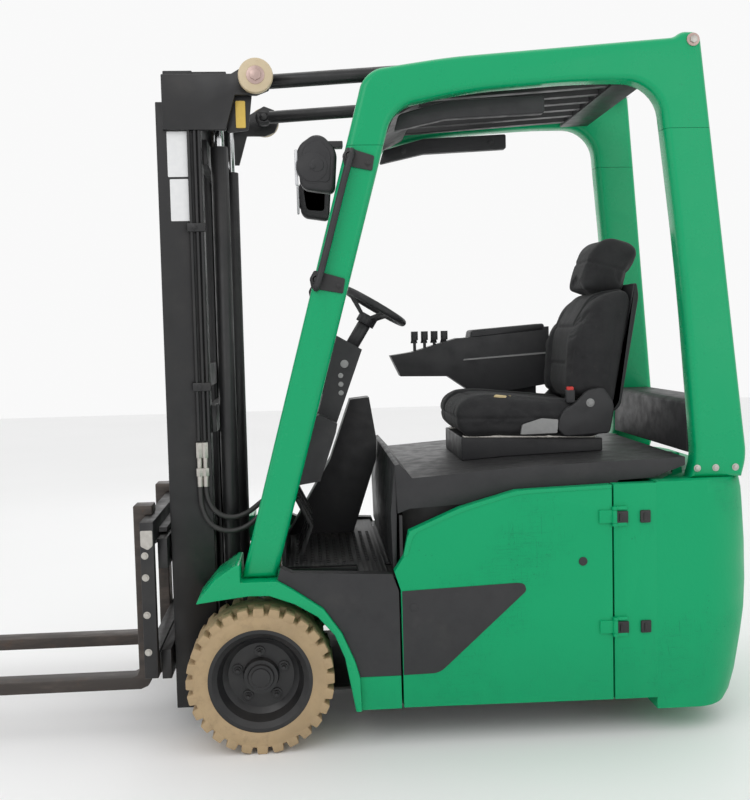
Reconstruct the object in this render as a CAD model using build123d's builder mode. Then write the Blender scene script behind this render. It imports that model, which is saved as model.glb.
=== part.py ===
"""Three-wheel electric counterbalance forklift, in millimetres.

The truck points along -X, its left side along -Y, and +Z is up.
The origin is on the floor, at the middle of the footprint.
"""

import os
from math import atan2, cos, degrees, hypot, radians, sin, tan

from build123d import *

os.makedirs("parts", exist_ok=True)

# Driving dimensions: whole truck
overall_width = 1085.0
fork_length = 1000.0
load_distance = 410.0
rear_reach = 1620.0
pin_gap = 0.1
run_gap = 6.0
slide_gap = 0.5
panel_gap = 6.0

# The front axle's place along the truck, so that the origin is mid-length
axle_x = (load_distance + fork_length - rear_reach) / 2

# Front wheels
wheel_radius = 229.0
tyre_width = 198.0
tyre_shoulder = 14.0
tyre_tread_depth = 22.0
rim_radius = 162.0
rim_wall = 12.0
rim_dish_depth = 62.0
rim_dish_radius = 128.0
rim_disc_radius = 103.0
hub_radius = 57.0
hub_length = 22.0
hub_cap_radius = 42.0
nut_count = 5
nut_circle_radius = 76.0
nut_radius = 12.0
nut_height = 14.0
stub_radius = 32.0

# Front axle and mast bearing
axle_tube_radius = 60.0
motor_radius = 104.0
motor_inner_y = 55.0
motor_outer_y = 205.0
gear_radius = 118.0
gear_width = 34.0
bracket_y = 208.0
bracket_width = 22.0

# Mast
mast_front = 285.0
mast_depth = 140.0
mast_bottom = 81.0
mast_top = 2140.0
rail_top = 2038.0
mast_half_width = overall_width / 2 - tyre_width - 19.5
rail_web = 15.0
rail_flange = 18.0
rail_flange_width = 60.0
inner_web = 12.0
inner_flange = 13.0
inner_flange_width = 58.0
inner_bottom = 190.0
mast_stroke = 1500.0
rest_lift = 65.0
tilt_forward = 3.0
tilt_back = 5.0
foot_plate = 30.0
cross_depth = 45.0
cross_height = 90.0
bearing_wall = 22.0
bearing_width = 34.0
roller_length = 34.0

# Lift cylinders
lift_offset_x = 93.0
lift_y = 262.0
lift_barrel_radius = 28.0
lift_rod_radius = 16.0
lift_barrel_top = 1905.0
lift_gland_height = 40.0
lift_barrel_floor = 40.0

# Carriage, side-shift frame and forks
carriage_half_width = 420.0
side_plate_thickness = 18.0
side_plate_bottom = 200.0
side_plate_top = 655.0
side_plate_depth = 150.0
carriage_bar_height = 95.0
carriage_bar_depth = 30.0
shift_bar_depth = 34.0
shift_bar_height = 76.0
shift_range = 80.0
fork_thickness = 40.0
fork_width = 80.0
fork_centre_y = 250.0
fork_bottom = 137.0
fork_tip_thickness = 12.0
fork_heel_radius = 55.0
fork_shank_top = 748.0
hook_lip = 16.0

# Tilt cylinders
tilt_pin_x = 35.0
tilt_pin_z = 2109.0
tilt_anchor_x = 1421.0
tilt_anchor_z = 2196.0
anchor_pin_radius = 10.0
anchor_drift = 6.5
tilt_rod_eye_radius = 27.0
tilt_y = 268.0
tilt_barrel_radius = 23.0
tilt_rod_radius = 14.0
tilt_barrel_length = 690.0
tilt_bore_depth = 500.0
tilt_rod_inside = 215.0
tilt_eye_radius = 30.0
tilt_eye_width = 34.0
tilt_pin_radius = 14.0
tilt_cap_radius = 56.0
tilt_cap_width = 26.0

# Body stations, measured back from the front axle
bulkhead_station = 66.0
bay_station = 440.0
door_rear_station = 1113.0
strip_rear_station = 1250.0
weight_station = 1272.0
hood_rear_station = 1366.0
body_half_width = overall_width / 2 - 20.5
sill_z = 118.0
trim_z = 223.0
floor_z = 530.0
shoulder_z = 800.0
hood_z = 878.0
plate = 10.0

# Fenders
arch_clearance = 41.0
arch_band = 24.0
fender_inner_y = 338.0

# Counterweight
weight_bottom = 77.0
weight_top = 806.0
weight_corner = 230.0
weight_edge = 22.0

# Rear steering
steer_station = 1306.0
steer_radius = 190.0
steer_tyre_width = 138.0
steer_track = 168.0
steer_rim_radius = 128.0
steer_clearance = 256.0
turntable_radius = 132.0
turntable_z = 428.0
turntable_height = 26.0
steer_leg = 22.0
steer_pin_radius = 25.0
steer_ring_height = 30.0

# Battery
battery_length = 590.0
battery_width = 2 * body_half_width - 214.0
battery_height = 627.0
battery_z = 150.0

# Guard
guard_outer_top = body_half_width - 104.0
guard_outer_foot = body_half_width - 30.0
guard_depth = 92.0
guard_edge = 26.0

# Steering column and dash
steer_wheel_radius = 160.0
steer_grip_radius = 13.0
steer_wheel_station = 380.0
steer_wheel_z = 1411.0
steer_rake = 29.0
column_radius = 24.0
column_length = 150.0

# Hood and its hinge
hood_wall = 14.0
hood_hinge_station = 1384.0
hood_hinge_z = 862.0
hood_ear_y = 330.0
hood_pin_radius = 6.0


def at(station):
    """The X place of a station measured back from the front axle."""
    return axle_x + station


def side_plane(y):
    """A plane facing the left side at that Y; its local axes are world X and Z."""
    return Plane.XZ.offset(-y)


def face_of(points):
    """A closed straight-sided face in the sketch being built."""
    Polygon(*points, align=None)


def profile(stations):
    """Side-view points given as station and height, moved to world X and Z."""
    return [(at(station), height) for station, height in stations]


def write(part, name):
    """Labels a finished piece and writes its file."""
    part.label = name
    export_step(part, f"parts/{name}.step")


def write_mirrored(part, name):
    """Writes the piece of the other side."""
    with BuildPart() as other:
        add(mirror(part, about=Plane.XZ))
    write(other.part, name)



# Front wheels: a solid low tyre on a dished steel rim
tyre_outer_y = overall_width / 2
tyre_inner_y = tyre_outer_y - tyre_width
wheel_axis = Axis((axle_x, 0, wheel_radius), (0, 1, 0))
wheel_plane = Plane(origin=(axle_x, 0, wheel_radius), x_dir=(0, -1, 0), z_dir=(1, 0, 0))

with BuildPart() as tyre_left:
    with BuildSketch(wheel_plane):
        face_of(
            [
                (tyre_inner_y + 6, rim_radius),
                (tyre_outer_y - 6, rim_radius),
                (tyre_outer_y, rim_radius + 14),
                (tyre_outer_y, wheel_radius - tyre_tread_depth),
                (tyre_outer_y - 4, wheel_radius - tyre_shoulder),
                (tyre_outer_y - tyre_shoulder, wheel_radius),
                (tyre_inner_y + tyre_shoulder, wheel_radius),
                (tyre_inner_y + 4, wheel_radius - tyre_shoulder),
                (tyre_inner_y, wheel_radius - tyre_tread_depth),
                (tyre_inner_y, rim_radius + 14),
            ]
        )
    revolve(axis=wheel_axis)
write(tyre_left.part, "tyre_left")
write_mirrored(tyre_left.part, "tyre_right")

rim_outer_y = tyre_outer_y - 8
rim_inner_y = tyre_inner_y + 8
disc_y = rim_outer_y - rim_dish_depth
with BuildPart() as rim_left:
    with BuildSketch(wheel_plane):
        face_of(
            [
                (rim_inner_y, rim_radius),
                (rim_outer_y, rim_radius),
                (rim_outer_y, rim_radius - rim_wall),
                (rim_outer_y - 14, rim_dish_radius + 6),
                (disc_y + 14, rim_dish_radius - 8),
                (disc_y, rim_disc_radius),
                (disc_y, hub_radius),
                (disc_y + hub_length, hub_radius - 4),
                (disc_y + hub_length, hub_cap_radius),
                (disc_y + hub_length + 8, hub_cap_radius - 3),
                (disc_y + hub_length + 8, 0),
                (disc_y + 6, 0),
                (disc_y + 6, stub_radius + pin_gap),
                (disc_y - 40, stub_radius + pin_gap),
                (disc_y - 40, hub_radius),
                (disc_y - rim_wall, hub_radius),
                (disc_y - rim_wall, rim_radius - rim_wall - 14),
                (disc_y, rim_radius - rim_wall),
                (rim_inner_y, rim_radius - rim_wall),
            ]
        )
    revolve(axis=wheel_axis)
    nut_plane = Plane(
        origin=(axle_x, -disc_y + 1, wheel_radius), x_dir=(1, 0, 0), z_dir=(0, -1, 0)
    )
    with BuildSketch(nut_plane):
        with PolarLocations(nut_circle_radius, nut_count, start_angle=20):
            RegularPolygon(nut_radius, 6)
    extrude(amount=nut_height + 1)
write(rim_left.part, "rim_left")
write_mirrored(rim_left.part, "rim_right")


def rod_along_y(station, height, radius, y_start, y_end, mode=Mode.ADD):
    """A round bar or bore along Y in the part being built."""
    with BuildSketch(Plane.XZ.offset(-y_start)) as section:
        with Locations((at(station), height)):
            Circle(radius)
    extrude(section.sketch, amount=y_start - y_end, mode=mode)


def block(stations, ys, heights, mode=Mode.ADD):
    """A box between pairs of stations, Y values and heights."""
    with BuildSketch(Plane.XY.offset(heights[0])) as section:
        with Locations(((at(stations[0]) + at(stations[1])) / 2, (ys[0] + ys[1]) / 2)):
            Rectangle(abs(stations[1] - stations[0]), abs(ys[1] - ys[0]))
    extrude(section.sketch, amount=heights[1] - heights[0], mode=mode)


def side_slab(stations, y_start, y_end, mode=Mode.ADD):
    """A side-view outline extruded between two Y values, the smaller first."""
    with BuildSketch(Plane.XZ.offset(-y_start)) as section:
        face_of(profile(stations))
    extrude(section.sketch, amount=y_start - y_end, mode=mode)


# Drive axle: a tube that carries the mast, two motors and two gear housings
stub_end_y = disc_y + 4
gear_outer_y = mast_half_width
gear_inner_y = gear_outer_y - gear_width
with BuildPart() as drive_axle:
    rod_along_y(0, wheel_radius, axle_tube_radius, -gear_inner_y - 2, gear_inner_y + 2)
    rod_along_y(0, wheel_radius, motor_radius, -motor_outer_y, -motor_inner_y)
    rod_along_y(0, wheel_radius, motor_radius, motor_inner_y, motor_outer_y)
    rod_along_y(0, wheel_radius, gear_radius, -gear_outer_y, -gear_inner_y)
    rod_along_y(0, wheel_radius, gear_radius, gear_inner_y, gear_outer_y)
    rod_along_y(0, wheel_radius, stub_radius, -stub_end_y, -gear_outer_y + 2)
    rod_along_y(0, wheel_radius, stub_radius, gear_outer_y - 2, stub_end_y)
write(drive_axle.part, "drive_axle")

# Frame: battery bay, floor carrier, front wall and axle saddles
door_inner_y = body_half_width - 40.0
frame_half = door_inner_y - run_gap
front_wall = 130.0
narrow_half = mast_half_width + 1
wide_station = 316.0
bay_front = 446.0
bay_rear = 1036.0
deck_z = 460.0
deck_thickness = 26.0
floor_plate_z = 520.0
with BuildPart() as chassis_frame:
    block((front_wall, wide_station), (-narrow_half, narrow_half), (sill_z, sill_z + plate))
    block((wide_station, bay_front - 10), (-door_inner_y, door_inner_y), (sill_z, sill_z + 40))
    block((bay_front - 12, bay_rear + plate), (-frame_half, door_inner_y), (sill_z, sill_z + plate))
    block((front_wall, front_wall + plate), (-narrow_half, narrow_half), (sill_z, floor_plate_z))
    block((bay_front, bay_front + plate), (-frame_half, frame_half), (sill_z, 720))
    block((bay_rear, bay_rear + plate), (-frame_half, frame_half), (sill_z, 730))
    block((66, bay_front + 2), (-narrow_half, narrow_half), (floor_plate_z, floor_plate_z + plate))
    block((wide_station, bay_front - 10), (-door_inner_y, door_inner_y), (floor_plate_z, floor_plate_z + plate))
    block((bay_front - 12, bay_front + 2), (-frame_half, frame_half), (floor_plate_z, floor_plate_z + plate))
    block((bay_rear + 2, weight_station - 16), (-frame_half, frame_half), (deck_z, deck_z + deck_thickness))
    for side in (-1, 1):
        wall = (-narrow_half - plate, -narrow_half) if side < 0 else (narrow_half, narrow_half + plate)
        side_slab([(24, 480), (24, 530), (332, 530), (332, 119), (298, 119), (250, 380), (150, 480)], *wall)
        saddle_y = bracket_y + bracket_width + run_gap
        saddle = (-gear_inner_y + 4, -saddle_y) if side < 0 else (saddle_y, gear_inner_y - 4)
        side_slab(
            [(axle_tube_radius - 6, 180), (axle_tube_radius - 6, 278), (front_wall + 2, 330), (front_wall + 2, 130)],
            *saddle,
        )
    rod_along_y(0, wheel_radius, axle_tube_radius, -narrow_half, narrow_half, Mode.SUBTRACT)
write(chassis_frame.part, "chassis_frame")

# Fenders: a deep band over each front wheel that carries the guard's foot
fender_outline = [
    (-190, 478),
    (-129, 551),
    (-66, 594),
    (-52, 594),
    (-52, 540),
    (60, 540),
    (105, 513),
    (200, 447),
    (256, 367),
    (294, 278),
    (309, 224),
    (312, 118),
    (294, 118),
    (276, 218),
    (263, 290),
    (233, 364),
    (182, 424),
    (113, 466),
    (36, 495),
    (-27, 497),
    (-118, 487),
]
with BuildPart() as fender_left:
    side_slab(fender_outline, -overall_width / 2 + 2.5, -narrow_half - plate)
write(fender_left.part, "fender_left")
write_mirrored(fender_left.part, "fender_right")

# Step panels between the fender and the battery door
step_outline = [
    (313, 118),
    (310, 224),
    (295, 278),
    (257, 368),
    (201, 448),
    (106, 514),
    (62, 540),
    (72, 578),
    (110, 560),
    (417, 545),
    (436, 491),
    (438, 118),
]
with BuildPart() as step_left:
    side_slab(step_outline, -body_half_width, -door_inner_y)
write(step_left.part, "step_left")
write_mirrored(step_left.part, "step_right")

# Side panels: the battery door on the left, a fixed panel on the right
door_outline = [
    (445, 120),
    (1113, 114),
    (1113, 801),
    (810, 792),
    (633, 744),
    (472, 676),
    (456, 600),
    (424, 551),
    (443, 491),
]
door_skin = 8.0
door_hinge_station = 1119.0
door_hinge_y = body_half_width + 8.0
door_knuckle_radius = 8.0
door_pin_radius = 4.0
door_hinge_heights = (350.0, 702.0)
with BuildPart() as door_blank:
    with BuildSketch(Plane.XZ.offset(body_half_width)):
        face_of(profile(door_outline))
    extrude(amount=-(body_half_width - door_inner_y))
    with BuildSketch(Plane.XZ.offset(body_half_width - door_skin)):
        with BuildSketch(mode=Mode.PRIVATE) as inner_face:
            face_of(profile(door_outline))
            offset(amount=-22, kind=Kind.INTERSECTION, mode=Mode.REPLACE)
        add(inner_face.sketch)
    extrude(amount=-(body_half_width - door_skin - door_inner_y), mode=Mode.SUBTRACT)
with BuildPart() as battery_door:
    add(door_blank.part)
    for hinge_z in door_hinge_heights:
        with BuildSketch(Plane.XY.offset(hinge_z - 20)):
            with Locations((at(door_hinge_station), -door_hinge_y)):
                Circle(door_knuckle_radius)
            with Locations((at(door_hinge_station - 24), -body_half_width - 3)):
                Rectangle(48, 8)
        extrude(amount=40)
        with BuildSketch(Plane.XY.offset(hinge_z - 22)):
            with Locations((at(door_hinge_station), -door_hinge_y)):
                Circle(door_pin_radius + pin_gap)
        extrude(amount=44, mode=Mode.SUBTRACT)
write(battery_door.part, "battery_door")

strip_outline = [(1119, 114), (1256, 114), (1256, 803), (1119, 802)]
with BuildPart() as strip_left:
    side_slab(strip_outline, -body_half_width, -door_inner_y)
    for hinge_z in door_hinge_heights:
        for end in (-1, 1):
            with BuildSketch(Plane.XY.offset(hinge_z + end * 26 - 5)):
                with Locations((at(door_hinge_station), -door_hinge_y)):
                    Circle(door_knuckle_radius)
                with Locations((at(door_hinge_station + 20), -body_half_width - 3)):
                    Rectangle(40, 8)
            extrude(amount=10)
        with BuildSketch(Plane.XY.offset(hinge_z - 24)):
            with Locations((at(door_hinge_station), -door_hinge_y)):
                Circle(door_pin_radius)
        extrude(amount=48)
write(strip_left.part, "hinge_strip_left")

with BuildPart() as side_panel_right:
    add(mirror(door_blank.part, about=Plane.XZ))
    side_slab(
        [(1113, 114), (1255, 114), (1255, 803), (1113, 801)],
        door_inner_y,
        body_half_width,
    )
write(side_panel_right.part, "side_panel_right")

# Counterweight, hollowed below for the steered wheels
steer_cavity_top = 460.0
with BuildPart() as counterweight:
    with BuildSketch(Plane.XY.offset(weight_bottom)) as weight_plan:
        with Locations((at((weight_station - 16 + rear_reach) / 2), 0)):
            Rectangle(rear_reach - weight_station + 16, 2 * body_half_width)
        fillet(weight_plan.vertices().group_by(Axis.X)[-1], weight_corner)
    extrude(amount=weight_top - weight_bottom)
    with BuildSketch(Plane.XY.offset(weight_bottom)):
        with Locations((at(steer_station), 0)):
            Circle(steer_clearance)
    extrude(amount=steer_cavity_top - weight_bottom, mode=Mode.SUBTRACT)
    with BuildSketch(Plane.XY.offset(steer_cavity_top)):
        with Locations((at(steer_station), 0)):
            Circle(steer_pin_radius + pin_gap)
    extrude(amount=70, mode=Mode.SUBTRACT)
    for side in (-1, 1):
        ear = (-hood_ear_y - 14, -hood_ear_y) if side < 0 else (hood_ear_y, hood_ear_y + 14)
        pin = (-hood_ear_y - 2, -hood_ear_y + 36) if side < 0 else (hood_ear_y - 36, hood_ear_y + 2)
        side_slab(
            [
                (hood_hinge_station - 11, weight_top - 1),
                (hood_hinge_station - 11, hood_hinge_z + 11),
                (hood_hinge_station + 11, hood_hinge_z + 11),
                (hood_hinge_station + 24, weight_top - 1),
            ],
            *ear,
        )
        rod_along_y(hood_hinge_station, hood_hinge_z, hood_pin_radius, *pin)
write(counterweight.part, "counterweight")

# Battery: one plain block in its bay
with BuildPart() as battery:
    block((460, 1030), (-battery_width / 2, battery_width / 2), (sill_z + plate, 777))
write(battery.part, "battery")

# Floor mat with the pedals
mat_z = floor_plate_z + plate
with BuildPart() as floor_mat:
    block((84, bay_front), (-narrow_half, narrow_half), (mat_z, mat_z + 8))
    block((wide_station, 410), (-frame_half, frame_half), (mat_z, mat_z + 8))
    for pedal_y in (-150, -20, 110):
        side_slab(
            [(120, mat_z + 4), (138, mat_z + 4), (178, 640), (130, 738), (118, 732), (162, 642)],
            pedal_y - 35,
            pedal_y + 35,
        )
write(floor_mat.part, "floor_mat")

# Steering wheel on its raked column
wheel_tilt = radians(31.6)
ring_x = 417.0
ring_z = 1388.0
ring_plane = Plane(
    origin=(at(ring_x), 0, ring_z), x_dir=(0, 1, 0), z_dir=(sin(wheel_tilt), 0, cos(wheel_tilt))
)
ring_radius = 128.0
hub_drop = 46.0
column_end = 124.0
column_plane = ring_plane.offset(-hub_drop - 22 - 5)
with BuildPart() as steering_wheel:
    with BuildSketch(Plane(origin=ring_plane.origin, x_dir=(0, 1, 0), z_dir=(cos(wheel_tilt), 0, -sin(wheel_tilt)))):
        with Locations((ring_radius - steer_grip_radius, 0)):
            Circle(steer_grip_radius)
    revolve(axis=Axis(ring_plane.origin, ring_plane.z_dir))
    with BuildSketch(ring_plane.offset(-hub_drop - 26.5)):
        Circle(34)
    extrude(amount=34.5)
    for angle in (90, 210, 330):
        outward = ring_plane.x_dir.rotate(Axis((0, 0, 0), ring_plane.z_dir), angle)
        sideways = outward.cross(ring_plane.z_dir)
        with BuildSketch(Plane(origin=ring_plane.origin, x_dir=outward, z_dir=sideways)):
            face_of(
                [
                    (ring_radius - 18, -5),
                    (ring_radius - 18, 5),
                    (ring_radius - 34, 5),
                    (26, -hub_drop + 8),
                    (10, -hub_drop + 8),
                    (10, -hub_drop - 4),
                    (30, -hub_drop - 4),
                ]
            )
        extrude(amount=11, both=True)
write(steering_wheel.part, "steering_wheel")

with BuildPart() as column:
    with BuildSketch(column_plane):
        Circle(column_radius)
    extrude(amount=-column_end)
write(column.part, "steering_column")

# Dash: pedestal, upper cowl and the side console on the right
with BuildPart() as dash:
    side_slab(
        [(72, 770), (112, 960), (130, 1000), (208, 1022), (268, 990), (262, 960), (205, 796), (138, 786), (84, 770)],
        -200,
        200,
    )
    block((72, 84), (-narrow_half, narrow_half), (mat_z, 800))
    side_slab([(190, 1010), (208, 1030), (276, 1288), (362, 1238), (268, 985)], -120, 120)
    side_slab(
        [(84, 538), (330, 538), (424, 817), (426, 897), (402, 1052), (330, 1045), (251, 822)],
        210,
        318,
    )
    block((84, 110), (198, 212), (780, 820))
    with BuildSketch(column_plane) as socket:
        Circle(column_radius)
    extrude(socket.sketch, amount=-column_end, mode=Mode.SUBTRACT)
write(dash.part, "dash")

# Guard side frames lean inward towards the roof
guard_lean = atan2(guard_outer_foot - guard_outer_top, 2100 - 540)
guard_plane = Plane(
    origin=(axle_x, -guard_outer_foot, 540),
    x_dir=(1, 0, 0),
    z_dir=(0, -cos(guard_lean), sin(guard_lean)),
)


def guard_outline(stations):
    """Side-view points on the leaning plane of the left guard frame."""
    return [(station, (height - 540) / cos(guard_lean)) for station, height in stations]


front_pillar_outline = [
    (-50, 540),
    (41, 869),
    (142, 1246),
    (183, 1409),
    (239, 1636),
    (308, 1878),
    (426, 1878),
    (385, 1712),
    (288, 1407),
    (247, 1244),
    (137, 811),
    (58, 540),
]
beam_outline = [
    (308, 1878),
    (334, 1967),
    (365, 2083),
    (430, 2110),
    (574, 2137),
    (714, 2159),
    (1007, 2182),
    (1221, 2195),
    (1364, 2210),
    (1378, 2222),
    (1426, 2222),
    (1441, 2194),
    (1458, 2056),
    (1470, 1921),
    (1322, 1921),
    (1301, 1993),
    (1250, 2042),
    (1168, 2068),
    (975, 2069),
    (712, 2050),
    (572, 2019),
    (491, 1990),
    (450, 1947),
    (426, 1878),
]
rear_pillar_outline = [
    (1322, 1921),
    (1341, 1758),
    (1371, 1455),
    (1395, 989),
    (1405, 872),
    (1384, 816),
    (1384, weight_top),
    (1556, weight_top),
    (1574, 866),
    (1559, 984),
    (1501, 1628),
    (1470, 1921),
]
guard_thick = 84.0
for outline, name in (
    (front_pillar_outline, "guard_front"),
    (beam_outline, "guard_beam"),
    (rear_pillar_outline, "guard_rear"),
):
    with BuildPart() as frame_piece:
        with BuildSketch(guard_plane):
            face_of(guard_outline(outline))
        extrude(amount=-guard_thick)
        if name == "guard_beam":
            rod_along_y(
                tilt_anchor_x,
                tilt_anchor_z,
                anchor_pin_radius,
                -guard_outer_top + 20,
                -tilt_y + tilt_eye_width / 2 + 4,
            )
        else:
            foot = 540 if name == "guard_front" else weight_top
            split(bisect_by=Plane.XY.offset(foot), keep=Keep.TOP)
    write(frame_piece.part, f"{name}_left")
    write_mirrored(frame_piece.part, f"{name}_right")

guard_inner = guard_plane.offset(-guard_thick)
guard_inner_right = Plane(
    origin=(axle_x, guard_outer_foot, 540),
    x_dir=(1, 0, 0),
    z_dir=(0, cos(guard_lean), sin(guard_lean)),
).offset(-guard_thick)

# Roof: cross beams and bars between the side frames
roof_half = 344.0
with BuildPart() as guard_roof:
    side_slab([(470, 1985), (470, 2060), (560, 2085), (560, 2030)], -roof_half, roof_half)
    side_slab([(1180, 2075), (1180, 2125), (1290, 2130), (1290, 2080)], -roof_half, roof_half)
    for bar_y in (-280, -168, -56, 56, 168, 280):
        side_slab([(556, 2042), (556, 2078), (1184, 2120), (1184, 2084)], bar_y - 17, bar_y + 17)
    split(bisect_by=guard_inner, keep=Keep.BOTTOM)
    split(bisect_by=guard_inner_right, keep=Keep.BOTTOM)
write(guard_roof.part, "guard_roof")

# Cover between the rear pillars
with BuildPart() as rear_cover:
    side_slab([(1404, 880), (1404, 1040), (1420, 1052), (1540, 1052), (1540, 1040), (1424, 1040), (1416, 880)], -400, 400)
    side_slab([(1528, 880), (1528, 1042), (1540, 1042), (1540, 880)], -400, 400)
    split(bisect_by=guard_inner, keep=Keep.BOTTOM)
    split(bisect_by=guard_inner_right, keep=Keep.BOTTOM)
write(rear_cover.part, "rear_cover")

# Hood: the battery's cover that carries the seat
hood_outline = [
    (442, 726),
    (436, 878),
    (450, 882),
    (490, 836),
    (838, 860),
    (1366, 876),
    (1366, 850),
    (1262, 813),
    (1150, 808),
    (1110, 770),
    (480, 740),
]
hood_cavity = [(456, 690), (454, 822), (490, 820), (838, 844), (1352, 861), (1352, 690)]
hood_half = frame_half
with BuildPart() as hood:
    side_slab(hood_outline, -hood_half, hood_half)
    side_slab(hood_cavity, -hood_half + hood_wall, hood_half - hood_wall, mode=Mode.SUBTRACT)
    for side in (-1, 1):
        knuckle = (-hood_ear_y + 4, -hood_ear_y + 30) if side < 0 else (hood_ear_y - 30, hood_ear_y - 4)
        side_slab(
            [
                (1364, 852),
                (1364, 874),
                (hood_hinge_station, hood_hinge_z + 11),
                (hood_hinge_station + 10, hood_hinge_z + 4),
                (hood_hinge_station + 10, hood_hinge_z - 6),
                (hood_hinge_station, hood_hinge_z - 11),
            ],
            *knuckle,
        )
        rod_along_y(hood_hinge_station, hood_hinge_z, hood_pin_radius + pin_gap, *knuckle, Mode.SUBTRACT)
write(hood.part, "hood")

# Seat on the hood
with BuildPart() as seat_base:
    side_slab([(690, 849.8), (690, 930), (1180, 915), (1180, 870.4), (838, 860)], -200, 200)
write(seat_base.part, "seat_base")
with BuildPart() as seat_cushion:
    side_slab([(650, 1030), (668, 952), (690, 931), (1180, 916), (1200, 960), (1120, 1040), (794, 1077), (680, 1065)], -240, 240)
write(seat_cushion.part, "seat_cushion")
with BuildPart() as seat_back:
    side_slab([(1060, 1052), (1125, 1040), (1200, 965), (1240, 1010), (1312, 1400), (1298, 1455), (1160, 1420), (1084, 1360)], -220, 220)
    side_slab([(1128, 1409), (1180, 1600), (1215, 1618), (1350, 1590), (1363, 1560), (1296, 1450), (1300, 1400)], -130, 130)
write(seat_back.part, "seat_back")
with BuildPart() as armrest:
    side_slab([(492, 1205), (530, 1125), (712, 1121), (823, 1043), (1110, 1082), (1108, 1304), (771, 1266), (753, 1267), (576, 1217)], 262, 350)
    side_slab([(900, 861.9), (900, 1090), (1060, 1110), (1060, 866.75)], 284, 336)
    for lever_station in (590, 629, 667, 706):
        with BuildSketch(Plane.XY.offset(1200)):
            with Locations((at(lever_station), 306)):
                Circle(6)
        extrude(amount=66)
        with BuildSketch(Plane.XY.offset(1262)):
            with Locations((at(lever_station), 306)):
                RectangleRounded(26, 30, 9)
        extrude(amount=34)
write(armrest.part, "armrest")

# Lamps and grab handles on the front pillars
with BuildPart() as lamp_left:
    side_slab([(153, 1885), (226, 1930), (306.2, 1872), (265.2, 1728), (165, 1746)], -412, -356)
write(lamp_left.part, "lamp_left")
write_mirrored(lamp_left.part, "lamp_right")

# Steered twin wheels on their turntable
steer_axis = Axis((at(steer_station), 0, steer_radius), (0, 1, 0))
steer_plane = Plane(origin=(at(steer_station), 0, steer_radius), x_dir=(0, 1, 0), z_dir=(1, 0, 0))
steer_hub_radius = 40.0
with BuildPart() as turntable:
    with BuildSketch(Plane.XY.offset(turntable_z)):
        with Locations((at(steer_station), 0)):
            Circle(turntable_radius)
    extrude(amount=turntable_height)
    with BuildSketch(Plane.XY.offset(turntable_z + turntable_height)):
        with Locations((at(steer_station), 0)):
            Circle(steer_pin_radius)
    extrude(amount=60)
    block((steer_station - 30, steer_station + 30), (-steer_leg / 2, steer_leg / 2), (steer_radius - 30, turntable_z + 2))
    with BuildSketch(Plane.XZ.offset(-steer_track / 2 - 40)):
        with Locations((at(steer_station), steer_radius)):
            Circle(steer_pin_radius)
    extrude(amount=steer_track + 80)
write(turntable.part, "turntable")

with BuildPart() as rear_tyres:
    for side in (-1, 1):
        with BuildSketch(steer_plane):
            centre = side * steer_track / 2
            half = steer_tyre_width / 2
            face_of(
                [
                    (centre - half + 4, steer_rim_radius - steer_radius + steer_radius),
                    (centre + half - 4, steer_rim_radius),
                    (centre + half, steer_rim_radius + 12),
                    (centre + half, steer_radius - 14),
                    (centre + half - 12, steer_radius),
                    (centre - half + 12, steer_radius),
                    (centre - half, steer_radius - 14),
                    (centre - half, steer_rim_radius + 12),
                ]
            )
        revolve(axis=steer_axis)
write(rear_tyres.part, "rear_tyres")
with BuildPart() as rear_rims:
    for side in (-1, 1):
        with BuildSketch(steer_plane):
            inner = side * (steer_leg / 2 + 6)
            outer = side * (steer_track / 2 + steer_tyre_width / 2 - 6)
            disc = side * (steer_track / 2)
            face_of(
                [
                    (inner + side * 8, steer_rim_radius),
                    (outer, steer_rim_radius),
                    (outer, steer_rim_radius - 10),
                    (disc + side * 6, steer_rim_radius - 10),
                    (disc + side * 6, steer_hub_radius + 14),
                    (disc + side * 30, steer_hub_radius),
                    (disc + side * 30, steer_pin_radius + pin_gap),
                    (disc - side * 30, steer_pin_radius + pin_gap),
                    (disc - side * 30, steer_hub_radius),
                    (disc - side * 6, steer_hub_radius + 14),
                    (disc - side * 6, steer_rim_radius - 10),
                    (inner + side * 8, steer_rim_radius - 10),
                ]
            )
        revolve(axis=steer_axis)
write(rear_rims.part, "rear_rims")

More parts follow.
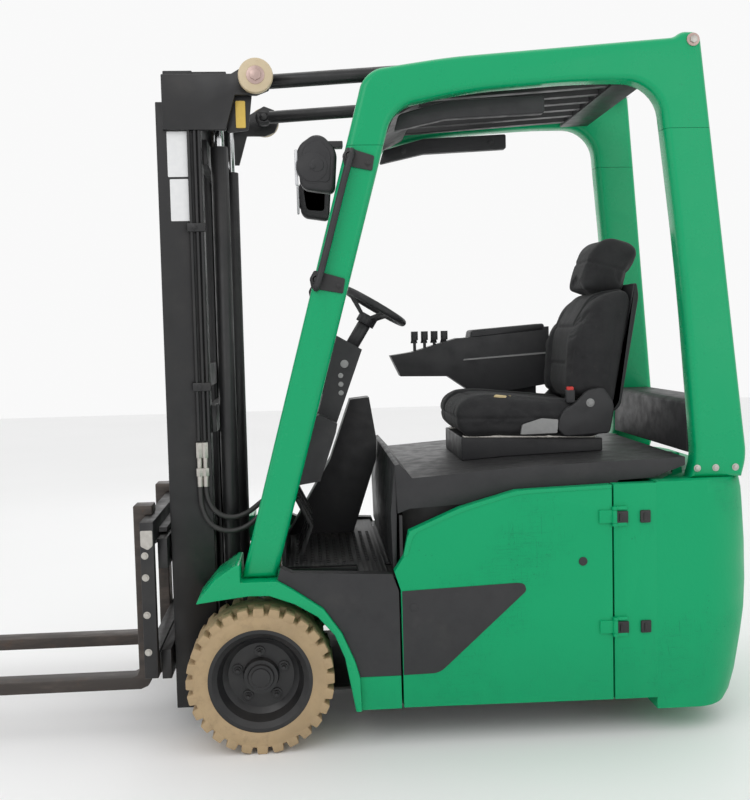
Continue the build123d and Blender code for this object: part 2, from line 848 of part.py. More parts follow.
# Outer mast: two channels, cross members, axle brackets and the top brackets
rail_front = -mast_front
rail_rear = -mast_front + mast_depth
rail_inner_y = mast_half_width - rail_flange_width
pivot_clear = 6.0
with BuildPart() as mast_outer:
    for side in (-1, 1):
        with BuildSketch(Plane.XY.offset(mast_bottom)):
            face_of(
                [
                    (at(rail_front), side * mast_half_width),
                    (at(rail_rear), side * mast_half_width),
                    (at(rail_rear), side * rail_inner_y),
                    (at(rail_rear - rail_flange), side * rail_inner_y),
                    (at(rail_rear - rail_flange), side * (mast_half_width - rail_web)),
                    (at(rail_front + rail_flange), side * (mast_half_width - rail_web)),
                    (at(rail_front + rail_flange), side * rail_inner_y),
                    (at(rail_front), side * rail_inner_y),
                ]
            )
        extrude(amount=rail_top - mast_bottom)
        bracket = (
            (-mast_half_width - 18, -mast_half_width) if side < 0 else (mast_half_width, mast_half_width + 18)
        )
        side_slab(
            [(-262, 1948), (-262, 2120), (-42, 2120), (35, 2165), (74, 2150), (91, 2109), (74, 2068), (35, 2053), (-32, 2054), (-64, 1945)],
            *bracket,
        )
        pin = (-mast_half_width - 4, -tilt_y + tilt_eye_width / 2 + 6) if side < 0 else (
            tilt_y - tilt_eye_width / 2 - 6,
            mast_half_width + 4,
        )
        rod_along_y(tilt_pin_x, tilt_pin_z, tilt_pin_radius, *pin)
        foot = (-bracket_y - bracket_width, -bracket_y) if side < 0 else (bracket_y, bracket_y + bracket_width)
        side_slab(
            [(rail_rear - 2, 120), (rail_rear - 2, 420), (-90, 400), (-20, 330), (40, 312), (84, 270), (84, 188), (40, 146), (-20, 128)],
            *foot,
        )
    block((rail_rear - rail_flange, rail_rear + 22), (-rail_inner_y - 4, rail_inner_y + 4), (96, 190))
    block((rail_rear - rail_flange + 2, rail_rear + 14), (-rail_inner_y - 4, rail_inner_y + 4), (980, 1070))
    block((rail_rear - rail_flange + 2, rail_rear + 14), (-rail_inner_y - 4, rail_inner_y + 4), (1850, 1930))
    for side in (-1, 1):
        step = (-lift_y - 24, -lift_y + 24) if side < 0 else (lift_y - 24, lift_y + 24)
        block((rail_rear - 2, -66), step, (96, 120))
    rod_along_y(0, wheel_radius, axle_tube_radius + pin_gap, -narrow_half, narrow_half, Mode.SUBTRACT)
write(mast_outer.part, "mast_outer")

# Lift barrels stand on the mast's foot; their rods push the inner mast's head
with BuildPart() as lift_barrels:
    for side in (-1, 1):
        with BuildSketch(Plane.XY.offset(120)):
            with Locations((at(-lift_offset_x), side * lift_y)):
                Circle(lift_barrel_radius)
        extrude(amount=lift_barrel_top - 120)
        with BuildSketch(Plane.XY.offset(120 + lift_barrel_floor)):
            with Locations((at(-lift_offset_x), side * lift_y)):
                Circle(lift_rod_radius + pin_gap)
        extrude(amount=lift_barrel_top - 120 - lift_barrel_floor, mode=Mode.SUBTRACT)
write(lift_barrels.part, "lift_barrels")

# Inner mast: two channels nested in the outer ones
inner_outer_y = mast_half_width - rail_web - run_gap
inner_tip_y = inner_outer_y - inner_flange_width
inner_front = rail_front + rail_flange + run_gap
inner_rear = rail_rear - rail_flange - run_gap
head_bottom = 2078.0
pulley_station = -157.0
pulley_radius = 45.0
pulley_y = 150.0
pulley_width = 30.0
pulley_z = 2010.0
with BuildPart() as inner_mast:
    for side in (-1, 1):
        with BuildSketch(Plane.XY.offset(inner_bottom)):
            face_of(
                [
                    (at(inner_front), side * inner_outer_y),
                    (at(inner_rear), side * inner_outer_y),
                    (at(inner_rear), side * inner_tip_y),
                    (at(inner_rear - inner_flange), side * inner_tip_y),
                    (at(inner_rear - inner_flange), side * (inner_outer_y - inner_web)),
                    (at(inner_front + inner_flange), side * (inner_outer_y - inner_web)),
                    (at(inner_front + inner_flange), side * inner_tip_y),
                    (at(inner_front), side * inner_tip_y),
                ]
            )
        extrude(amount=mast_top - inner_bottom)
    for low, high in ((260, 340), (1120, 1200), (1960, head_bottom + 2)):
        block((inner_rear - inner_flange, inner_rear), (-inner_tip_y - 2, inner_tip_y + 2), (low, high))
    block((inner_rear - inner_flange, -62), (-inner_outer_y + 14, inner_outer_y - 14), (head_bottom, mast_top))
write(inner_mast.part, "inner_mast")

with BuildPart() as lift_rods:
    for side in (-1, 1):
        with BuildSketch(Plane.XY.offset(200)):
            with Locations((at(-lift_offset_x), side * lift_y)):
                Circle(lift_rod_radius)
        extrude(amount=head_bottom - 200)
write(lift_rods.part, "lift_rods")

# Carriage: two bars on side plates with rollers inside the inner mast
bar_front = rail_front - run_gap - carriage_bar_depth
bar_rear = rail_front - run_gap
roller_radius = (inner_rear - inner_front - 2 * inner_flange) / 2 - slide_gap
roller_station = (inner_front + inner_rear) / 2
carriage_bar_half = 380.0
with BuildPart() as carriage:
    for low in (side_plate_bottom, side_plate_top - carriage_bar_height):
        block((bar_front, bar_rear), (-carriage_bar_half, carriage_bar_half), (low, low + carriage_bar_height))
    for side in (-1, 1):
        inner_face = inner_tip_y - run_gap - side_plate_thickness
        outer_face = inner_tip_y - run_gap
        slab = (-outer_face, -inner_face) if side < 0 else (inner_face, outer_face)
        block((bar_rear - 2, roller_station + 24), slab, (side_plate_bottom, side_plate_top))
        for roller_z in (side_plate_bottom + 42, side_plate_top - 60):
            roller = (
                (-outer_face - roller_length - 6, -outer_face + 2)
                if side < 0
                else (outer_face - 2, outer_face + roller_length + 6)
            )
            rod_along_y(roller_station, roller_z, roller_radius, *roller)
write(carriage.part, "carriage")

# Side-shift frame and forks
shift_front = -load_distance + fork_thickness
shift_rear = bar_front - run_gap
lower_bar_z = 215.0
upper_bar_z = fork_shank_top - 32 - shift_bar_height
with BuildPart() as shift_frame:
    for low in (lower_bar_z, upper_bar_z):
        block((shift_front, shift_rear), (-carriage_half_width, carriage_half_width), (low, low + shift_bar_height))
    for side in (-1, 1):
        post = (
            (-carriage_half_width, -carriage_half_width + 30)
            if side < 0
            else (carriage_half_width - 30, carriage_half_width)
        )
        block((shift_front, shift_rear), post, (lower_bar_z + 2, upper_bar_z + 2))
    for side in (-1, 1):
        pad = (-380, -240) if side < 0 else (240, 380)
        for low, high in ((lower_bar_z + 5, lower_bar_z + 70), (upper_bar_z + 2, side_plate_top - 2)):
            block((shift_rear - 2, bar_front - slide_gap), pad, (low, high))
    block((shift_rear - 2, shift_rear + 28), (-300, 300), (side_plate_top + run_gap, side_plate_top + run_gap + 16))
write(shift_frame.part, "shift_frame")

fork_outline = [
    (-load_distance, fork_shank_top),
    (-load_distance + fork_thickness, fork_shank_top),
    (-load_distance + fork_thickness, fork_bottom + 30),
    (-load_distance + fork_thickness - 12, fork_bottom + 10),
    (-load_distance + fork_thickness - 36, fork_bottom),
    (-load_distance - fork_length + 350, fork_bottom),
    (-load_distance - fork_length, fork_bottom + fork_thickness - fork_tip_thickness),
    (-load_distance - fork_length, fork_bottom + fork_thickness),
    (-load_distance - 24, fork_bottom + fork_thickness),
    (-load_distance - 7, fork_bottom + fork_thickness + 7),
    (-load_distance, fork_bottom + fork_thickness + 24),
]
hook_depth = 22.0
with BuildPart() as fork_left:
    side_slab(fork_outline, -fork_centre_y - fork_width / 2, -fork_centre_y + fork_width / 2)
    block(
        (shift_front - 2, shift_front + hook_depth),
        (-fork_centre_y - fork_width / 2, -fork_centre_y + fork_width / 2),
        (upper_bar_z + shift_bar_height, fork_shank_top),
    )
    block(
        (shift_front - 2, shift_front + hook_depth),
        (-fork_centre_y - fork_width / 2, -fork_centre_y + fork_width / 2),
        (lower_bar_z - 28, lower_bar_z),
    )
write(fork_left.part, "fork_left")
write_mirrored(fork_left.part, "fork_right")

# Tilt cylinders: eye on the mast's top pin, rod to the guard's rear ear
tilt_run = hypot(tilt_anchor_x - tilt_pin_x, tilt_anchor_z - tilt_pin_z)
tilt_angle = atan2(tilt_anchor_z - tilt_pin_z, tilt_anchor_x - tilt_pin_x)


def tilt_plane(side, distance):
    """A plane across a tilt cylinder at that distance from its front pin."""
    return Plane(
        origin=(
            at(tilt_pin_x) + distance * cos(tilt_angle),
            side * tilt_y,
            tilt_pin_z + distance * sin(tilt_angle),
        ),
        x_dir=(0, 1, 0),
        z_dir=(cos(tilt_angle), 0, sin(tilt_angle)),
    )


with BuildPart() as tilt_barrels:
    for side in (-1, 1):
        eye = (side * tilt_y - tilt_eye_width / 2, side * tilt_y + tilt_eye_width / 2)
        rod_along_y(tilt_pin_x, tilt_pin_z, tilt_eye_radius, *eye)
        with BuildSketch(tilt_plane(side, 18)):
            Circle(tilt_barrel_radius)
        extrude(amount=tilt_barrel_length - 18)
        with BuildSketch(tilt_plane(side, tilt_barrel_length)):
            Circle(tilt_rod_radius + pin_gap)
        extrude(amount=-tilt_bore_depth, mode=Mode.SUBTRACT)
        rod_along_y(tilt_pin_x, tilt_pin_z, tilt_pin_radius + pin_gap, *eye, Mode.SUBTRACT)
write(tilt_barrels.part, "tilt_barrels")

with BuildPart() as tilt_rods:
    for side in (-1, 1):
        eye = (side * tilt_y - tilt_eye_width / 2, side * tilt_y + tilt_eye_width / 2)
        with BuildSketch(tilt_plane(side, tilt_barrel_length - tilt_rod_inside)):
            Circle(tilt_rod_radius)
        extrude(amount=tilt_run - 12 - tilt_barrel_length + tilt_rod_inside)
        rod_along_y(tilt_anchor_x, tilt_anchor_z, tilt_rod_eye_radius, *eye)
        rod_along_y(tilt_anchor_x, tilt_anchor_z, anchor_pin_radius + anchor_drift, *eye, Mode.SUBTRACT)
write(tilt_rods.part, "tilt_rods")
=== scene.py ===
"""Looks of a three-wheel electric forklift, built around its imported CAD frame."""

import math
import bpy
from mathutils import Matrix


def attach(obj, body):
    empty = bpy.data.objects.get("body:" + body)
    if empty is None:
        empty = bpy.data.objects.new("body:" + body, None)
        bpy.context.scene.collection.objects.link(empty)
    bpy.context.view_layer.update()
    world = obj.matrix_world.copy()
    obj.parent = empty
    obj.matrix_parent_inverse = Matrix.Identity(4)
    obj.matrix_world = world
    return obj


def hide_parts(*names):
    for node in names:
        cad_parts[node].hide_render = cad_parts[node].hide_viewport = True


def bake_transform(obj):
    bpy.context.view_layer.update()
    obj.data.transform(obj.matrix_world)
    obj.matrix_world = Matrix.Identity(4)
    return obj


bl_info = {
    "name": "Forklift looks",
    "version": (1, 0, 0),
    "blender": (4, 5, 0),
    "location": "View3D > Sidebar > Forklift",
    "description": "Finishes, trim, seat, hoses and studio for a packed forklift frame",
    "category": "Object",
}

import bmesh
import bpy
from bpy.props import FloatProperty, FloatVectorProperty, IntProperty, PointerProperty
from mathutils import Matrix, Vector

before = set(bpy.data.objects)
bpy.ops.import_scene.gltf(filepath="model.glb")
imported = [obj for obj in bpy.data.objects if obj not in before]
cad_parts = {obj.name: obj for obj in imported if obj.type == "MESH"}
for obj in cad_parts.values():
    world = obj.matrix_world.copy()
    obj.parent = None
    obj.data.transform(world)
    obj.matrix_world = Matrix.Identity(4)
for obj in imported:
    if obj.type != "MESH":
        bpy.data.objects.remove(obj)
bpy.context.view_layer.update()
AXLE_X = -0.105


def at(station):
    """World X in metres of a station in millimetres behind the front axle."""
    return AXLE_X + station / 1000


def spot(station, y, height):
    """A point in metres from millimetres: station, Y and height."""
    return Vector((at(station), y / 1000, height / 1000))


# Settings


class PaintSettings(bpy.types.PropertyGroup):
    """Colours of the truck's paint and materials."""

    green: FloatVectorProperty(
        name="Green",
        description="Guard and body paint",
        size=3,
        subtype="COLOR",
        min=0.0,
        max=1.0,
        default=(0.0, 0.335, 0.13),
    )
    green_dark: FloatVectorProperty(
        name="Green in the grime",
        description="The paint where dirt lies on it",
        size=3,
        subtype="COLOR",
        min=0.0,
        max=1.0,
        default=(0.004, 0.19, 0.085),
    )
    black: FloatVectorProperty(
        name="Black paint",
        description="Mast and steel parts",
        size=3,
        subtype="COLOR",
        min=0.0,
        max=1.0,
        default=(0.012, 0.012, 0.013),
    )
    plastic: FloatVectorProperty(
        name="Black plastic",
        description="Hood, dash and covers",
        size=3,
        subtype="COLOR",
        min=0.0,
        max=1.0,
        default=(0.018, 0.018, 0.02),
    )
    tan: FloatVectorProperty(
        name="Tyre",
        description="Non-marking tyre rubber",
        size=3,
        subtype="COLOR",
        min=0.0,
        max=1.0,
        default=(0.4, 0.29, 0.165),
    )
    cloth: FloatVectorProperty(
        name="Seat cloth",
        description="Woven cover of the seat",
        size=3,
        subtype="COLOR",
        min=0.0,
        max=1.0,
        default=(0.012, 0.012, 0.014),
    )
    fork: FloatVectorProperty(
        name="Fork steel",
        description="Fork steel where it is not rubbed bare",
        size=3,
        subtype="COLOR",
        min=0.0,
        max=1.0,
        default=(0.035, 0.028, 0.024),
    )


class EdgeSettings(bpy.types.PropertyGroup):
    """How far edges are rounded."""

    guard: FloatProperty(
        name="Guard rounding", description="Radius along the guard's edges", unit="LENGTH", default=0.022
    )
    body: FloatProperty(
        name="Body rounding", description="Radius along the body panels' edges", unit="LENGTH", default=0.010
    )
    steel: FloatProperty(
        name="Steel edge", description="Radius along steel parts' edges", unit="LENGTH", default=0.0018
    )
    segments: IntProperty(
        name="Segments", description="Steps in the guard's rounding", min=1, default=4
    )


class CameraSettings(bpy.types.PropertyGroup):
    """Where the camera stands and looks."""

    place: FloatVectorProperty(
        name="Place",
        description="Where the camera stands",
        size=3,
        subtype="TRANSLATION",
        unit="LENGTH",
        default=(0.0632, -3.6376, 1.2921),
    )
    yaw: FloatProperty(
        name="Yaw", description="Turn about the upright axis, in degrees", default=-3.8141
    )
    pitch: FloatProperty(
        name="Pitch", description="Tilt up or down, in degrees", default=-3.7324
    )
    roll: FloatProperty(
        name="Roll", description="Turn about the line of sight, in degrees", default=-1.3764
    )
    lens: FloatProperty(
        name="Lens", description="Focal length in millimetres", default=45.89
    )


class TruckSettings(bpy.types.PropertyGroup):
    """All settings of the truck."""

    paint: PointerProperty(type=PaintSettings)
    edge: PointerProperty(type=EdgeSettings)
    camera: PointerProperty(type=CameraSettings)


def settings():
    """The truck's settings on the scene."""
    return bpy.context.scene.truck


# Shader maps


class Map:
    """One value or colour in a material's node tree, with arithmetic on it."""

    def __init__(self, book, socket):
        self.book = book
        self.socket = socket

    def _math(self, kind, other=None, swapped=False):
        node = self.book.node("ShaderNodeMath", operation=kind)
        first, second = (other, self) if swapped else (self, other)
        self.book.feed(node.inputs[0], first)
        if second is not None:
            self.book.feed(node.inputs[1], second)
        return Map(self.book, node.outputs[0])

    def __add__(self, other):
        return self._math("ADD", other)

    __radd__ = __add__

    def __sub__(self, other):
        return self._math("SUBTRACT", other)

    def __rsub__(self, other):
        return self._math("SUBTRACT", other, swapped=True)

    def __mul__(self, other):
        return self._math("MULTIPLY", other)

    __rmul__ = __mul__

    def __or__(self, other):
        return self._math("MAXIMUM", other)

    __ror__ = __or__

    def sine(self):
        """The sine of this."""
        return self._math("SINE")

    def size(self):
        """This without its sign."""
        return self._math("ABSOLUTE")

    def ramp(self, low, high, to_low=0.0, to_high=1.0):
        """This carried smoothly from one span to another."""
        node = self.book.node("ShaderNodeMapRange", interpolation_type="SMOOTHSTEP")
        self.book.feed(node.inputs["Value"], self)
        node.inputs["From Min"].default_value = low
        node.inputs["From Max"].default_value = high
        node.inputs["To Min"].default_value = to_low
        node.inputs["To Max"].default_value = to_high
        return Map(self.book, node.outputs["Result"])

    def tint(self, first, second):
        """A colour between two, by this as the share of the second."""
        node = self.book.node("ShaderNodeMix", data_type="RGBA")
        self.book.feed(node.inputs[0], self)
        self.book.feed(node.inputs[6], first)
        self.book.feed(node.inputs[7], second)
        return Map(self.book, node.outputs[2])


class Finish:
    """A material being built: its maps and its one surface shader."""

    def __init__(self, name):
        self.material = bpy.data.materials.new(name)
        self.material.use_nodes = True
        self.tree = self.material.node_tree
        self.surface = self.tree.nodes["Principled BSDF"]
        coordinates = self.node("ShaderNodeTexCoord")
        self.place = Map(self, coordinates.outputs["Object"])

    def node(self, kind, **facts):
        """A new node with these settings."""
        made = self.tree.nodes.new(kind)
        for key, value in facts.items():
            setattr(made, key, value)
        return made

    def feed(self, socket, value):
        """Gives a socket a map, a colour or a number."""
        if isinstance(value, Map):
            self.tree.links.new(value.socket, socket)
        elif isinstance(value, (int, float)):
            socket.default_value = value
        else:
            socket.default_value = (*value[:3], 1.0)

    def stretched(self, x, y, z, turn=(0.0, 0.0, 0.0)):
        """The place on the part, scaled along each axis."""
        node = self.node("ShaderNodeMapping")
        self.feed(node.inputs["Vector"], self.place)
        node.inputs["Scale"].default_value = (x, y, z)
        node.inputs["Rotation"].default_value = turn
        return Map(self, node.outputs[0])

    def noise(self, scale, detail=3.0, rough=0.5, place=None, warp=0.0):
        """Cloudy noise around one half."""
        node = self.node("ShaderNodeTexNoise")
        self.feed(node.inputs["Vector"], place or self.place)
        node.inputs["Scale"].default_value = scale
        node.inputs["Detail"].default_value = detail
        node.inputs["Roughness"].default_value = rough
        node.inputs["Distortion"].default_value = warp
        return Map(self, node.outputs["Fac"])

    def cells(self, scale):
        """Distance in a cell pattern."""
        node = self.node("ShaderNodeTexVoronoi", feature="F1")
        self.feed(node.inputs["Vector"], self.place)
        node.inputs["Scale"].default_value = scale
        return Map(self, node.outputs["Distance"])

    def axis(self, letter):
        """One coordinate of the place on the part, in metres."""
        node = self.node("ShaderNodeSeparateXYZ")
        self.feed(node.inputs[0], self.place)
        return Map(self, node.outputs[letter])

    def facing_up(self):
        """One where the surface faces up, zero where it doesn't."""
        coordinates = self.node("ShaderNodeTexCoord")
        node = self.node("ShaderNodeSeparateXYZ")
        self.tree.links.new(coordinates.outputs["Normal"], node.inputs[0])
        return Map(self, node.outputs["Z"]).ramp(0.35, 0.9)

    def colour(self, value):
        self.feed(self.surface.inputs["Base Color"], value)

    def rough(self, value):
        self.feed(self.surface.inputs["Roughness"], value)

    def metal(self, value):
        self.feed(self.surface.inputs["Metallic"], value)

    def relief(self, height, strength, distance):
        """Bumps the surface by a height map."""
        node = self.node("ShaderNodeBump")
        node.inputs["Strength"].default_value = strength
        node.inputs["Distance"].default_value = distance
        self.feed(node.inputs["Height"], height)
        self.tree.links.new(node.outputs["Normal"], self.surface.inputs["Normal"])

    def coat(self, weight, rough):
        self.surface.inputs["Coat Weight"].default_value = weight
        self.surface.inputs["Coat Roughness"].default_value = rough


def gloss_green():
    """Glossy guard paint with faint orange peel and grime streaks."""
    look = Finish("green_gloss")
    paint = settings().paint
    streak = look.noise(3.0, 6, 0.6, look.stretched(4.0, 4.0, 0.5)).ramp(0.58, 0.8)
    fleck = look.noise(60.0, 4, 0.7).ramp(0.66, 0.74)
    look.colour((streak * 0.25 | fleck * 0.6).tint(paint.green, paint.green_dark))
    look.rough(look.noise(9.0, 5, 0.6).ramp(0.3, 0.8, 0.2, 0.42))
    look.relief(look.noise(260.0, 2, 0.5) * 0.5 + look.noise(22.0, 2, 0.5), 0.10, 0.0012)
    look.coat(0.12, 0.12)
    look.surface.inputs["Specular IOR Level"].default_value = 0.25
    return look.material


def scuffed_green():
    """Body paint, cast and scratched, with grime in its scratches."""
    look = Finish("green_scuffed")
    paint = settings().paint
    wear = look.noise(2.4, 6, 0.65)
    long_scratch = look.noise(9.0, 3, 0.75, look.stretched(0.5, 1.0, 16.0, (0.0, 0.22, 0.0)), 0.6)
    cross_scratch = look.noise(7.0, 3, 0.75, look.stretched(9.0, 1.0, 0.7, (0.0, -0.35, 0.0)), 0.9)
    lines = (long_scratch - 0.5).size().ramp(0.0, 0.012, 1.0, 0.0) * wear.ramp(0.5, 0.62)
    cross = (cross_scratch - 0.5).size().ramp(0.0, 0.009, 1.0, 0.0) * wear.ramp(0.46, 0.6)
    specks = look.cells(46.0).ramp(0.05, 0.13, 1.0, 0.0) * look.noise(5.0, 3, 0.6).ramp(0.52, 0.64)
    marks = lines * 0.75 | cross * 0.6 | specks * 0.8
    low = look.axis("Z").ramp(0.08, 0.42, 0.4, 0.0) * look.noise(14.0, 5, 0.7)
    grime = marks | low | wear.ramp(0.6, 0.85) * 0.22
    look.colour(grime.tint(paint.green, paint.green_dark))
    look.rough(wear.ramp(0.3, 0.75, 0.36, 0.6) + marks * 0.15)
    pebble = look.noise(95.0, 4, 0.6) * 0.7 + look.noise(11.0, 3, 0.5) * 0.8
    look.surface.inputs["Specular IOR Level"].default_value = 0.25
    look.relief(pebble - marks * 0.5, 0.32, 0.0022)
    return look.material


def black_paint():
    """Satin black steel with dust on its flats."""
    look = Finish("black_steel")
    paint = settings().paint
    dust = look.noise(6.0, 6, 0.65).ramp(0.45, 0.85) * 0.35 | look.facing_up() * 0.28
    look.colour(dust.tint(paint.black, (0.055, 0.05, 0.045)))
    look.rough(look.noise(14.0, 5, 0.6).ramp(0.25, 0.8, 0.34, 0.58))
    look.relief(look.noise(180.0, 3, 0.6) + look.noise(16.0, 3, 0.5) * 0.6, 0.12, 0.0012)
    return look.material


def black_plastic():
    """Grained black plastic with pale dust."""
    look = Finish("black_plastic")
    paint = settings().paint
    dust = look.noise(7.0, 6, 0.7).ramp(0.5, 0.9) * 0.4 | look.facing_up() * 0.16
    look.colour(dust.tint(paint.plastic, (0.06, 0.056, 0.052)))
    look.rough(look.noise(20.0, 4, 0.6).ramp(0.3, 0.8, 0.44, 0.66))
    look.relief(look.cells(420.0) * 0.8 + look.noise(300.0, 2, 0.5) * 0.4, 0.22, 0.0006)
    return look.material


def tan_tyre():
    """Non-marking rubber, dusty and scuffed dark at its tread."""
    look = Finish("tan_tyre")
    paint = settings().paint
    scuff = look.noise(26.0, 6, 0.7).ramp(0.45, 0.75)
    smear = look.noise(6.0, 4, 0.6).ramp(0.4, 0.75)
    look.colour((scuff * 0.45 | smear * 0.35).tint(paint.tan, (0.2, 0.145, 0.085)))
    look.rough(look.noise(30.0, 4, 0.6).ramp(0.3, 0.8, 0.66, 0.9))
    look.relief(look.noise(130.0, 5, 0.7) + scuff * 0.4, 0.5, 0.0016)
    return look.material


def fork_steel():
    """Dark fork steel, rubbed bare along the blade."""
    look = Finish("fork_steel")
    paint = settings().paint
    rub = look.noise(9.0, 6, 0.7, look.stretched(0.35, 1.0, 1.6)).ramp(0.42, 0.7)
    rust = look.noise(30.0, 5, 0.7).ramp(0.55, 0.75)
    base = (rub * 0.7).tint(paint.fork, (0.13, 0.105, 0.09))
    look.colour((rust * 0.45).tint(base, (0.1, 0.05, 0.026)))
    look.rough(rub.ramp(0.0, 1.0, 0.55, 0.36))
    look.metal(rub * 0.5)
    look.relief(look.noise(120.0, 5, 0.7, look.stretched(0.5, 1.0, 1.0)), 0.25, 0.0012)
    return look.material


def chrome():
    """Hard chrome with faint draw lines."""
    look = Finish("chrome_rod")
    look.colour(look.noise(40.0, 3, 0.5).tint((0.55, 0.55, 0.56), (0.72, 0.72, 0.73)))
    look.rough(look.noise(30.0, 4, 0.6).ramp(0.3, 0.8, 0.12, 0.26))
    look.surface.inputs["Metallic"].default_value = 1.0
    look.relief(look.noise(300.0, 2, 0.5), 0.04, 0.0004)
    return look.material


def zinc():
    """Dull zinc of fittings and bolts."""
    look = Finish("zinc")
    look.colour(look.noise(60.0, 5, 0.6).tint((0.36, 0.34, 0.31), (0.62, 0.6, 0.56)))
    look.rough(look.noise(50.0, 4, 0.6).ramp(0.3, 0.8, 0.3, 0.5))
    look.surface.inputs["Metallic"].default_value = 0.9
    look.relief(look.noise(300.0, 3, 0.6), 0.15, 0.0005)
    return look.material


def floor_rubber():
    """Floor mat rubber with raised ribs and dust."""
    look = Finish("floor_rubber")
    ribs = (look.axis("X") * 420.0).sine().ramp(-0.2, 0.6)
    dust = look.noise(12.0, 6, 0.7).ramp(0.45, 0.85)
    look.colour((dust * 0.7).tint((0.016, 0.016, 0.017), (0.09, 0.083, 0.075)))
    look.rough(dust.ramp(0.0, 1.0, 0.55, 0.8))
    look.relief(ribs, 0.6, 0.0022)
    return look.material


def seat_cloth():
    """Woven black cloth with lint and wear."""
    look = Finish("seat_cloth")
    paint = settings().paint
    warp = (look.axis("X") * 2600.0 + look.axis("Z") * 1900.0).sine()
    weft = (look.axis("Y") * 2600.0 + look.axis("Z") * 1500.0).sine()
    weave = (warp * weft).ramp(-0.6, 0.8)
    lint = look.noise(90.0, 5, 0.75).ramp(0.58, 0.72) * 0.35 | look.noise(5.0, 4, 0.6).ramp(0.5, 0.8) * 0.25
    look.colour((lint | weave * 0.12).tint(paint.cloth, (0.075, 0.07, 0.065)))
    look.rough(look.noise(16.0, 3, 0.6).ramp(0.3, 0.8, 0.78, 0.95))
    look.surface.inputs["Sheen Weight"].default_value = 0.06
    look.surface.inputs["Sheen Roughness"].default_value = 0.45
    look.relief(weave + look.noise(25.0, 4, 0.6) * 0.8, 0.35, 0.0009)
    return look.material


def plain(name, first, second, low, high, scale=40.0, metallic=0.0, bump=0.1):
    """A small part's finish: two close colours, uneven gloss and a fine bump."""
    look = Finish(name)
    look.colour(look.noise(scale, 5, 0.6).tint(first, second))
    look.rough(look.noise(scale * 0.7, 4, 0.6).ramp(0.3, 0.8, low, high))
    look.surface.inputs["Metallic"].default_value = metallic
    look.relief(look.noise(scale * 4, 3, 0.6), bump, 0.0008)
    return look.material


MATERIALS = {}


def finish_named(name):
    """A finish from the shelf, made once."""
    makers = {
        "green_gloss": gloss_green,
        "green_scuffed": scuffed_green,
        "black_steel": black_paint,
        "black_plastic": black_plastic,
        "tan_tyre": tan_tyre,
        "fork_steel": fork_steel,
        "chrome": chrome,
        "zinc": zinc,
        "floor_rubber": floor_rubber,
        "seat_cloth": seat_cloth,
        "cream": lambda: plain("cream_cap", (0.5, 0.4, 0.25), (0.62, 0.52, 0.36), 0.35, 0.6),
        "label": lambda: plain("blank_label", (0.66, 0.67, 0.68), (0.78, 0.78, 0.78), 0.3, 0.45),
        "yellow": lambda: plain("yellow_tag", (0.55, 0.36, 0.06), (0.7, 0.5, 0.1), 0.4, 0.6),
        "grey": lambda: plain("grey_plastic", (0.2, 0.2, 0.2), (0.33, 0.33, 0.33), 0.4, 0.6),
        "red": lambda: plain("red_plastic", (0.45, 0.012, 0.01), (0.6, 0.03, 0.02), 0.3, 0.45),
        "foam": lambda: plain("foam", (0.5, 0.38, 0.18), (0.66, 0.55, 0.33), 0.85, 0.97, 90.0, 0.0, 0.5),
        "lens": lambda: plain("lamp_lens", (0.55, 0.56, 0.58), (0.7, 0.7, 0.72), 0.06, 0.14),
        "hose": lambda: plain("hose_rubber", (0.012, 0.012, 0.013), (0.035, 0.034, 0.032), 0.35, 0.55),
        "chain": lambda: plain(
            "chain_steel",
            (0.03, 0.027, 0.024),
            (0.09, 0.08, 0.07),
            0.3,
            0.5,
            90.0,
            0.7,
            0.3,
        ),
        "pink_metal": lambda: plain(
            "bolt_disc",
            (0.42, 0.3, 0.27),
            (0.56, 0.42, 0.38),
            0.28,
            0.45,
            60.0,
            0.6,
        ),
    }
    if name not in MATERIALS:
        MATERIALS[name] = makers[name]()
    return MATERIALS[name]


# Mesh helpers


def piece(name, mesh, finish, body, smooth=True):
    """A finished piece in the row frame that rides on a body."""
    data = bpy.data.meshes.new(name)
    mesh.to_mesh(data)
    mesh.free()
    made = bpy.data.objects.new(name, data)
    bpy.context.scene.collection.objects.link(made)
    data.materials.append(finish_named(finish))
    if smooth:
        data.shade_smooth()
        data.set_sharp_from_angle(angle=math.radians(38))
    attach(made, body)
    return made


def add_box(mesh, low, high, bevel=0.0, segments=2):
    """A box between two corners, its edges rounded."""
    low, high = Vector(low), Vector(high)
    size = high - low
    made = bmesh.ops.create_cube(mesh, size=1.0)
    bmesh.ops.scale(mesh, vec=size, verts=made["verts"])
    bmesh.ops.translate(mesh, vec=(low + high) / 2, verts=made["verts"])
    if bevel:
        edges = list({edge for vert in made["verts"] for edge in vert.link_edges})
        bmesh.ops.bevel(
            mesh,
            geom=edges,
            offset=bevel,
            segments=segments,
            affect="EDGES",
            profile=0.5,
            material=-1,
        )


def add_rod(mesh, start, end, radius, end_radius=None, segments=24, rounding=0.0):
    """A round bar or cone between two points."""
    start, end = Vector(start), Vector(end)
    line = end - start
    turn = line.to_track_quat("Z", "Y").to_matrix().to_4x4()
    made = bmesh.ops.create_cone(
        mesh,
        cap_ends=True,
        segments=segments,
        radius1=radius,
        radius2=radius if end_radius is None else end_radius,
        depth=line.length,
        matrix=Matrix.Translation((start + end) / 2) @ turn,
    )
    if rounding:
        rims = [
            edge
            for edge in {edge for vert in made["verts"] for edge in vert.link_edges}
            if len(edge.link_faces) == 2 and any(len(face.verts) > 4 for face in edge.link_faces)
        ]
        bmesh.ops.bevel(
            mesh,
            geom=rims,
            offset=rounding,
            segments=2,
            affect="EDGES",
            profile=0.5,
            material=-1,
        )


